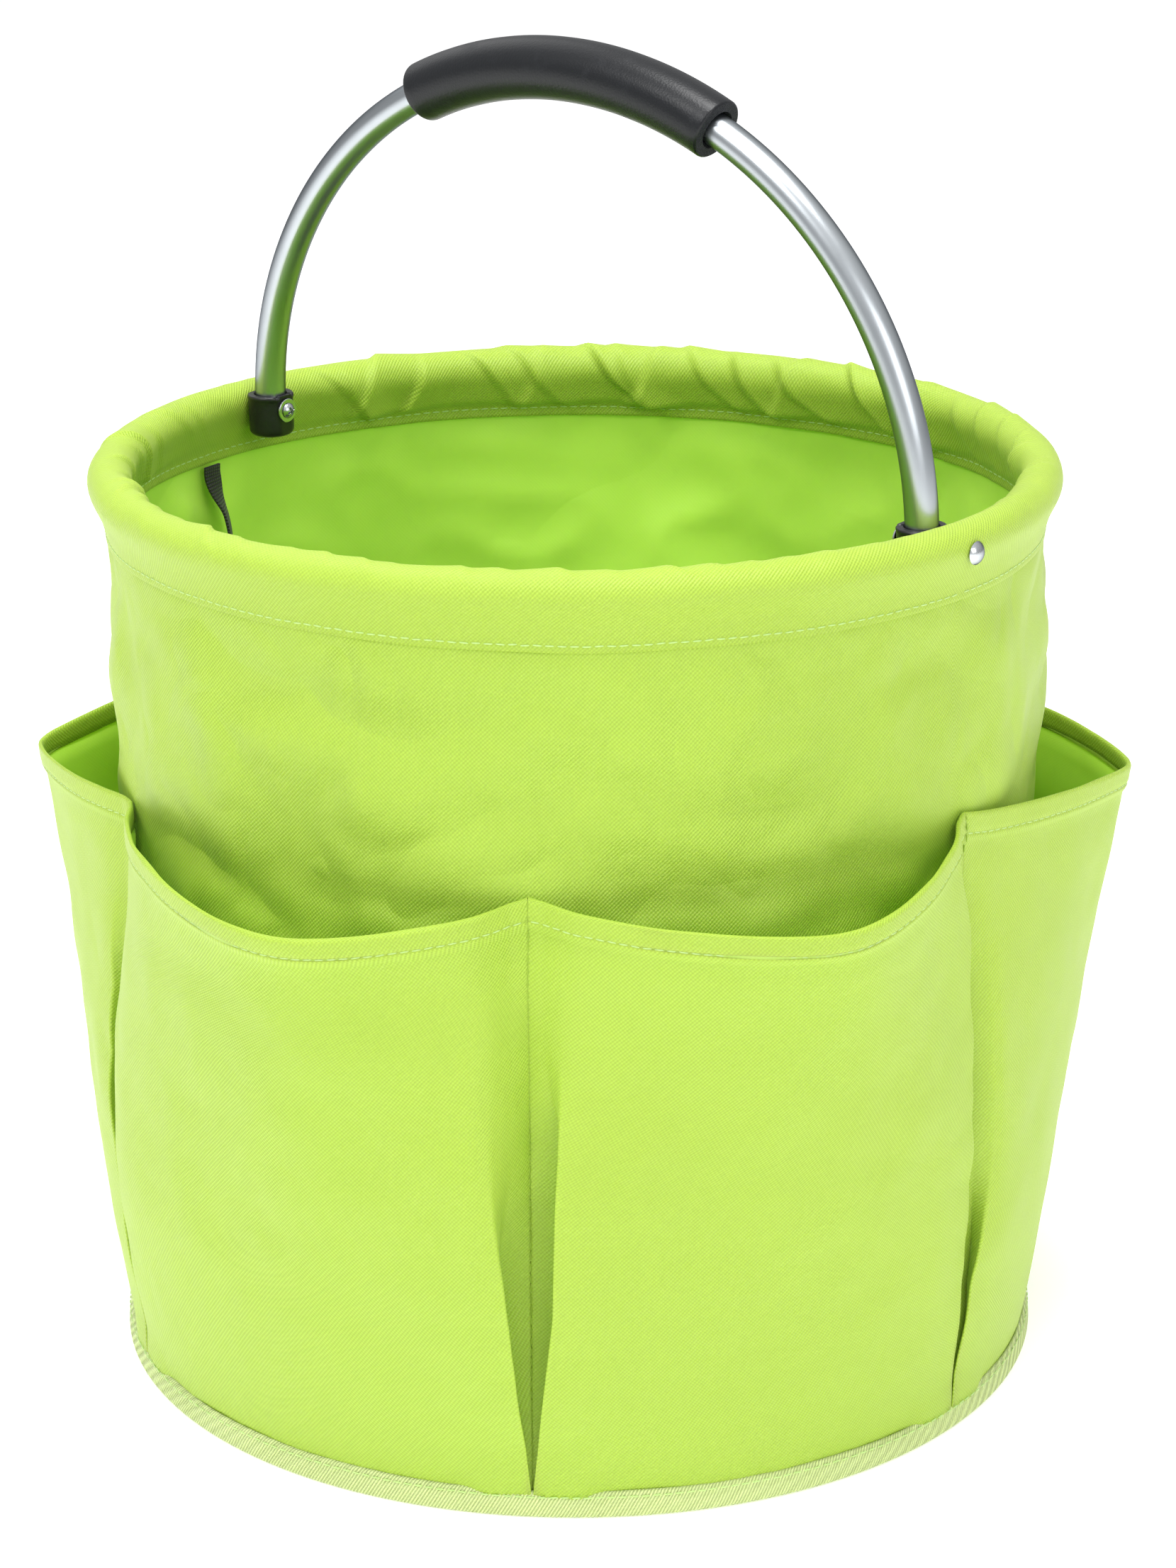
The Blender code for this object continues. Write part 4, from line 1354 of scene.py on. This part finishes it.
def make_strap():
    """Flat webbing that hangs against the wall and turns edge-on as it comes down."""
    line = smooth_route(STRAP_ROUTE, 120)
    run = row_lengths(line)
    share = run / run[-1]
    radial = around(np.degrees(np.arctan2(line[:, 1], line[:, 0])), 1.0, 0.0)
    level = np.cross(radial, (0.0, 0.0, 1.0))
    twist = np.radians(-34.0 * smooth_step(0.02, 0.10, share) - 42.0 * smooth_step(0.12, 0.40, share))
    across = level * np.cos(twist)[:, None] - radial * np.sin(twist)[:, None]
    half_width, half_thick, bead = 0.0048, 0.00055, 0.00035
    section = []
    for x_side, y_side, turn in ((1, 1, 0), (-1, 1, 90), (-1, -1, 180), (1, -1, 270)):
        x, y = x_side * (half_width - bead), y_side * (half_thick - bead)
        section += rounded(x, y, bead, (turn, turn + 45.0, turn + 90.0))
    strap = swept_piece("fold_strap_webbing", line, across, np.array(section), webbing_finish())
    stand_in(strap, "fold_strap")


# Handle


PIVOT_SAG = {"right": 0.0020, "left": 0.0008}    # how much lower than the hoop each pivot sits


def lean_point(points):
    """Leans points of the upright handle about the bolts' axis."""
    points = np.asarray(points, float)
    y = points[..., 1]
    z = points[..., 2] - HOOP_HEIGHT
    return np.stack(
        [
            points[..., 0],
            y * math.cos(HANDLE_LEAN) - z * math.sin(HANDLE_LEAN),
            y * math.sin(HANDLE_LEAN) + z * math.cos(HANDLE_LEAN) + HOOP_HEIGHT,
        ],
        -1,
    )


def arch(angle):
    """Points of the bail's centreline at these angles from its +X foot."""
    turn = np.radians(angle)
    zero = np.zeros_like(turn)
    return np.stack([LEG_RADIUS * np.cos(turn), zero, HOOP_HEIGHT + ARCH_HEIGHT * np.sin(turn)], -1)


def circle(radius, sides):
    turn = np.arange(sides) * 2 * math.pi / sides
    return np.stack([radius * np.cos(turn), radius * np.sin(turn)], -1)


def handle_side():
    """The way across the bail at its crown, square to its plane."""
    return lean_point(np.array((0.0, 1.0, HOOP_HEIGHT))) - (0.0, 0.0, HOOP_HEIGHT)


def make_tube():
    feet = np.array([
        [LEG_RADIUS + 0.0005, 0.0, LEG_BOTTOM - PIVOT_SAG["right"]],
        [-LEG_RADIUS, 0.0, LEG_BOTTOM - PIVOT_SAG["left"]],
    ])
    line = np.concatenate([feet[:1], arch(np.linspace(0.0, 180.0, 121)), feet[1:]])
    sideways = np.tile(handle_side(), (len(line), 1))
    section = circle(TUBE_RADIUS, 36)
    tube = swept_piece(
        "handle_tube_bail", lean_point(line), sideways, section, tube_finish(), closed_ends=False
    )
    thicken(tube, 0.001)
    stand_in(tube, "handle_tube", "handle")


def make_grip():
    """Grip: a foam tube bent over the crown, its ends cut square and a little rounded."""
    angles = np.linspace(64.0, 116.0, 64)
    line = even_line(lean_point(arch(angles)), 64)
    run = row_lengths(line)
    total = run[-1]
    outer, bore, flared, soft = 0.0112, 0.0064, 0.0073, 0.0011
    profile = [(0.0030, bore), (0.0, flared)]
    profile += rounded(soft, outer - soft, soft, (180.0, 150.0, 120.0, 90.0))
    body = np.linspace(0.004, total - 0.004, 60)
    swell = 0.00025 * np.sin(math.pi * body / total)
    profile += list(zip(body, outer + swell))
    profile += rounded(total - soft, outer - soft, soft, (90.0, 60.0, 30.0, 0.0))
    profile += [(total, flared), (total - 0.0030, bore)]
    profile += [(place, bore) for place in np.linspace(total - 0.006, 0.006, 48)]
    rings = []
    sides = 44
    across = handle_side()
    along = np.gradient(line, axis=0)
    for place, radius in profile:
        way = unit(spot_at(place, run, along))
        side = unit(across - across.dot(way) * way)
        ring = circle(radius, sides) @ np.stack([side, np.cross(way, side)])
        rings.append(spot_at(place, run, line) + ring)
    points = np.array(rings + rings[:1])
    lengths = np.linspace(0.0, total, len(points))
    uvs = ring_uvs(len(points), sides, 2 * math.pi * outer, lengths)
    grip = grid_piece("foam_grip_sleeve", points, uvs, True, foam_finish())
    grip.data.materials.append(foam_cut_finish())
    cut_ends = [(Vector(line[k]), Vector(along[k]).normalized()) for k in (0, -1)]
    with reshaped(grip) as shell:
        bmesh.ops.remove_doubles(shell, verts=shell.verts, dist=0.000001)
        bmesh.ops.recalc_face_normals(shell, faces=shell.faces)
        for face in shell.faces:
            for end, way in cut_ends:
                offset = face.calc_center_median() - end
                if abs(offset.dot(way)) < 0.0031 and offset.length < outer - 0.0008:
                    face.material_index = 1
    sharpen(grip, 55.0)
    stand_in(grip, "foam_grip", "handle")


def dome(radius, height, count):
    """(radius, height) points from the axis down a low dome to its rim."""
    bulge = (radius**2 + height**2) / (2 * height)
    half = math.asin(min(1.0, radius / bulge))
    turns = np.linspace(0.0, half, count + 1)
    return [(bulge * math.sin(a), height - bulge * (1.0 - math.cos(a))) for a in turns]


def point_out(piece, sign, reach):
    """Turns a piece made about Z to point out of the rim along X, at this distance."""
    turn = Matrix.Rotation(sign * math.radians(90.0), 4, "Y")
    piece.data.transform(Matrix.Translation((sign * reach, 0.0, HOOP_HEIGHT)) @ turn)


def press_cross(piece, radius, depth, top):
    """Presses a cross recess into the top of a screw head."""
    slot_half = 0.00042
    floor = 0.0003
    with reshaped(piece) as shell:
        for vert in shell.verts:
            arm, reach = sorted((abs(vert.co.x), abs(vert.co.y)))
            if vert.co.z > top * 0.3 and arm < slot_half and reach < radius:
                vert.co.z = max(floor, vert.co.z - depth * (1.0 - 0.6 * reach / radius))


def make_sleeve(side, sign):
    height = sleeve_high.z - sleeve_low.z
    bottom = sleeve_low.z - HOOP_HEIGHT
    top = bottom + height - 0.0018
    radius, lip, bore = 0.0088, 0.0091, TUBE_RADIUS + 0.0002
    corner = 0.0026
    outline = [(0.0, bottom + 0.0025), (bore, bottom + 0.0025)]
    outline += [(bore, top - 0.0006), (bore + 0.0004, top - 0.0001)]
    outline += [(lip - 0.0010, top), (lip - 0.0004, top - 0.0001), (lip, top - 0.0006), (lip, top - 0.0014)]
    outline += [(radius + 0.0001, top - 0.0020), (radius, top - 0.0024)]
    outline += [(radius, z) for z in np.linspace(top - 0.004, bottom + corner, 8)]
    outline += rounded(radius - corner, bottom + corner, corner, (-20.0, -40.0, -60.0, -80.0, -90.0))
    outline.append((0.0, bottom))
    sleeve = turned_piece(f"pivot_sleeve_{side}_cup", outline, 72, plastic_finish())
    back = sleeve_high.x - LEG_RADIUS
    seat = LEG_RADIUS - sleeve_low.x
    lean = Matrix.Rotation(HANDLE_LEAN, 4, "X")
    place = Matrix.Translation((sign * LEG_RADIUS, 0.0, HOOP_HEIGHT - PIVOT_SAG[side]))
    with reshaped(sleeve) as shell:
        for vert in shell.verts:
            outwards = vert.co.x * sign
            if math.hypot(vert.co.x, vert.co.y) > bore + 0.0002:
                outwards = max(-seat, min(back, outwards))
            turn = math.degrees(math.atan2(vert.co.y, vert.co.x * sign))
            notch = vert.co.z > top - 0.0013 and abs(abs(turn) - 152.0) < 5.0
            vert.co = (sign * outwards, vert.co.y, vert.co.z - (0.0007 if notch else 0.0))
        shell.transform(place @ lean)
    sharpen(sleeve, 42.0)
    stand_in(sleeve, f"pivot_sleeve_{side}", "handle")


def make_fasteners(side, sign):
    seat = casing_high.x + 0.0003
    end = -(seat - washer_low.x)
    outline = dome(0.0042, head_high.x - seat, 10)
    outline += [(0.0041, -0.0001), (0.0020, -0.0001), (0.0020, end), (0.0, end)]
    bolt = turned_piece(f"pivot_bolt_{side}_dome", outline, 48, zinc_finish())
    sharpen(bolt)
    point_out(bolt, sign, seat)
    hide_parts(f"pivot_bolt_{side}")

    thick = washer_high.x - washer_low.x
    radius = 0.0047
    edge = 0.00018
    outline = [(0.0023, 0.0), (0.0023, thick), (radius - edge, thick), (radius, thick - edge), (radius, edge)]
    outline += [(radius - edge, 0.0), (0.0023, 0.0)]
    washer = turned_piece(f"pivot_washer_{side}_ring", outline, 56, zinc_finish())
    sharpen(washer)
    point_out(washer, sign, washer_low.x)
    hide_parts(f"pivot_washer_{side}")

    head = 0.0018
    rim = dome(0.0030, head, 16)
    outline = rim + [(0.0029, -0.0001), (0.0010, -0.0001), (0.0010, -0.0060), (0.0, -0.0060)]
    screw = turned_piece(f"pivot_screw_{side}_pan", outline, 64, zinc_finish())
    press_cross(screw, 0.0016, 0.0011, head)
    sharpen(screw, 32.0)
    screw.data.transform(Matrix.Rotation(math.radians(24.0), 4, "Z"))
    screw.data.transform(Matrix.Rotation(math.radians(180.0), 4, "X"))
    point_out(screw, sign, washer_low.x - 0.0003)
    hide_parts(f"pivot_screw_{side}")
    for piece in (bolt, washer, screw):
        piece.data.transform(Matrix.Translation((0.0, 0.0, -PIVOT_SAG[side])))
        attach(piece, "bag")


# Stage: lens and stand of the camera, then the lights

CAMERA_ANGLE = -49.81          # where it stands, in degrees round the bag
CAMERA_REACH = 1.4327          # from the bag's axis
CAMERA_RISE = 0.3597           # above the hoop
CAMERA_PITCH = 0.3195          # looking down, in radians
CAMERA_ROLL = -0.0044
CAMERA_LENS = 91.48
CAMERA_SHIFT = (0.00732, -0.01537)


def make_camera():
    data = bpy.data.cameras.new("camera")
    data.lens = CAMERA_LENS
    data.sensor_width = 36.0
    data.shift_x, data.shift_y = CAMERA_SHIFT
    data.clip_start = 0.02
    data.clip_end = 50.0
    camera = bpy.data.objects.new("camera", data)
    bpy.context.scene.collection.objects.link(camera)
    turn = math.radians(CAMERA_ANGLE)
    stand = Vector((math.cos(turn), math.sin(turn), 0.0))
    forward = -stand * math.cos(CAMERA_PITCH) - Vector((0.0, 0.0, math.sin(CAMERA_PITCH)))
    right = forward.cross(Vector((0.0, 0.0, 1.0))).normalized()
    up = right.cross(forward)
    rolled = right * math.cos(CAMERA_ROLL) + up * math.sin(CAMERA_ROLL)
    upright = up * math.cos(CAMERA_ROLL) - right * math.sin(CAMERA_ROLL)
    matrix = Matrix((rolled, upright, -forward)).transposed().to_4x4()
    matrix.translation = stand * CAMERA_REACH + Vector((0.0, 0.0, HOOP_HEIGHT + CAMERA_RISE))
    camera.matrix_world = matrix
    bpy.context.scene.camera = camera


def soft_light(name, angle, reach, height, size, power, target=0.18):
    """A square softbox that stands at this angle round the bag and faces it."""
    data = bpy.data.lights.new(name, "AREA")
    data.shape = "SQUARE"
    data.size = size
    data.energy = power
    light = bpy.data.objects.new(name, data)
    bpy.context.scene.collection.objects.link(light)
    place = Vector(around(angle, reach, height).tolist())
    way = Vector((0.0, 0.0, target)) - place
    light.matrix_world = Matrix.Translation(place) @ way.to_track_quat("-Z", "Y").to_matrix().to_4x4()


def make_floor():
    material, tree, shader = new_finish("studio_floor")
    grain = place_group(tree, grain_group(), Place=object_place(tree), Scale=60.0)
    scuffs = maths(tree, "MULTIPLY", grain.outputs["Scuff"], 0.02)
    paper = blend_colours(tree, scuffs, (0.97, 0.97, 0.97, 1.0), (0.93, 0.93, 0.93, 1.0))
    feed(tree, shader, "Base Color", paper)
    shader.inputs["Roughness"].default_value = 0.9
    shader.inputs["Specular IOR Level"].default_value = 0.1
    shader.inputs["Emission Color"].default_value = (1.0, 1.0, 1.0, 1.0)
    shader.inputs["Emission Strength"].default_value = 0.36
    mesh = bpy.data.meshes.new("studio_floor")
    disc = bmesh.new()
    bmesh.ops.create_circle(disc, cap_ends=True, segments=128, radius=9.0)
    disc.to_mesh(mesh)
    disc.free()
    mesh.materials.append(material)
    floor = bpy.data.objects.new("studio_floor", mesh)
    floor.location.z = -0.0002
    bpy.context.scene.collection.objects.link(floor)


def make_world():
    """White all round to the eye; as light, brightest overhead and softer towards the horizon."""
    world = bpy.data.worlds.new("studio")
    bpy.context.scene.world = world
    world.use_nodes = True
    tree = world.node_tree
    tree.nodes.clear()
    place = tree.nodes.new("ShaderNodeTexCoord").outputs["Generated"]
    split = add_node(tree, "ShaderNodeSeparateXYZ", Vector=place)
    rise = add_node(tree, "ShaderNodeMapRange", Value=split.outputs["Z"], From_Min=-0.1, From_Max=0.8)
    sky = blend_colours(tree, rise.outputs["Result"], (0.52, 0.53, 0.54, 1.0), (0.95, 0.95, 0.95, 1.0))
    light = add_node(tree, "ShaderNodeBackground", Color=sky, Strength=0.72)
    seen = add_node(tree, "ShaderNodeBackground", Color=(1.0, 1.0, 1.0, 1.0), Strength=1.0)
    path = tree.nodes.new("ShaderNodeLightPath")
    choice = tree.nodes.new("ShaderNodeMixShader")
    tree.links.new(path.outputs["Is Camera Ray"], choice.inputs[0])
    tree.links.new(light.outputs[0], choice.inputs[1])
    tree.links.new(seen.outputs[0], choice.inputs[2])
    out = tree.nodes.new("ShaderNodeOutputWorld")
    tree.links.new(choice.outputs[0], out.inputs["Surface"])


def make_stage():
    make_camera()
    make_floor()
    make_world()
    soft_light("key_softbox", -100.0, 1.9, 2.0, 0.8, 17.0)
    soft_light("fill_softbox", -22.0, 2.2, 1.25, 1.2, 12.0, 0.33)
    soft_light("back_softbox", 165.0, 2.0, 2.0, 1.6, 6.0)
    soft_light("top_softbox", -60.0, 0.35, 2.3, 1.0, 34.0)
    bpy.context.scene.view_settings.view_transform = "Standard"


# Operators


class BAG_OT_stage(Operator):
    """Camera, floor and studio light"""

    bl_idname = "picking_bag.stage"
    bl_label = "Stage"

    def execute(self, context):
        make_stage()
        return {"FINISHED"}


class BAG_OT_strap(Operator):
    """Webbing strap that hangs inside the wall"""

    bl_idname = "picking_bag.strap"
    bl_label = "Strap"

    def execute(self, context):
        make_strap()
        return {"FINISHED"}


class BAG_OT_wall(Operator):
    """Wall of coated cloth with its soft dents"""

    bl_idname = "picking_bag.wall"
    bl_label = "Wall"

    def execute(self, context):
        make_wall()
        return {"FINISHED"}


class BAG_OT_rim(Operator):
    """Gathered casing over the hoop, its hem and its two rows of stitches"""

    bl_idname = "picking_bag.rim"
    bl_label = "Rim"

    def execute(self, context):
        make_rim()
        return {"FINISHED"}


class BAG_OT_hoop(Operator):
    """Finish of the hoop's tube and of the plug in its joint"""

    bl_idname = "picking_bag.hoop"
    bl_label = "Hoop finish"

    def execute(self, context):
        for node, finish in (("rim_hoop", hoop_finish()), ("hoop_joiner", plastic_finish())):
            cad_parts[node].data.materials.clear()
            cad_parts[node].data.materials.append(finish)
        return {"FINISHED"}


class BAG_OT_pockets(Operator):
    """Six outer pockets with their hems, folds and seams"""

    bl_idname = "picking_bag.pockets"
    bl_label = "Pockets"

    def execute(self, context):
        make_pockets()
        return {"FINISHED"}


class BAG_OT_bottom(Operator):
    """Bottom cloth, the board on it, and the tape that binds the lower edge"""

    bl_idname = "picking_bag.bottom"
    bl_label = "Bottom"

    def execute(self, context):
        make_binding()
        make_bottom_cloth()
        make_board()
        return {"FINISHED"}


class BAG_OT_handle(Operator):
    """Bail of bent tube with its foam grip"""

    bl_idname = "picking_bag.handle"
    bl_label = "Handle"

    def execute(self, context):
        make_tube()
        make_grip()
        return {"FINISHED"}


class BAG_OT_pivots(Operator):
    """Sleeves on the handle's ends, with their bolts, washers and screws"""

    bl_idname = "picking_bag.pivots"
    bl_label = "Pivots"

    def execute(self, context):
        for side, sign in (("right", 1.0), ("left", -1.0)):
            make_sleeve(side, sign)
            make_fasteners(side, sign)
        return {"FINISHED"}


OPERATORS = (
    BAG_OT_stage,
    BAG_OT_strap,
    BAG_OT_wall,
    BAG_OT_rim,
    BAG_OT_hoop,
    BAG_OT_pockets,
    BAG_OT_bottom,
    BAG_OT_handle,
    BAG_OT_pivots,
)


class VIEW3D_PT_picking_bag(Panel):
    """Sizes, colours and the steps that build the bag"""

    bl_label = "Picking Bag"
    bl_idname = "VIEW3D_PT_picking_bag"
    bl_space_type = "VIEW_3D"
    bl_region_type = "UI"
    bl_category = "Picking Bag"

    def draw(self, context):
        for group in (context.scene.bag_sizes, context.scene.bag_colours):
            box = self.layout.box()
            for name in group.__annotations__:
                box.prop(group, name)
        for operator in OPERATORS:
            self.layout.operator(operator.bl_idname)


CLASSES = (BagSizes, BagColours, *OPERATORS, VIEW3D_PT_picking_bag)


def register():
    for item in CLASSES:
        bpy.utils.register_class(item)
    bpy.types.Scene.bag_sizes = PointerProperty(type=BagSizes)
    bpy.types.Scene.bag_colours = PointerProperty(type=BagColours)


def unregister():
    del bpy.types.Scene.bag_colours
    del bpy.types.Scene.bag_sizes
    for item in reversed(CLASSES):
        bpy.utils.unregister_class(item)


def main():
    register()
    bpy.ops.picking_bag.stage()
    bpy.ops.picking_bag.strap()
    bpy.ops.picking_bag.wall()
    bpy.ops.picking_bag.rim()
    bpy.ops.picking_bag.hoop()
    bpy.ops.picking_bag.pockets()
    bpy.ops.picking_bag.bottom()
    bpy.ops.picking_bag.handle()
    bpy.ops.picking_bag.pivots()


if __name__ == "__main__":
    main()
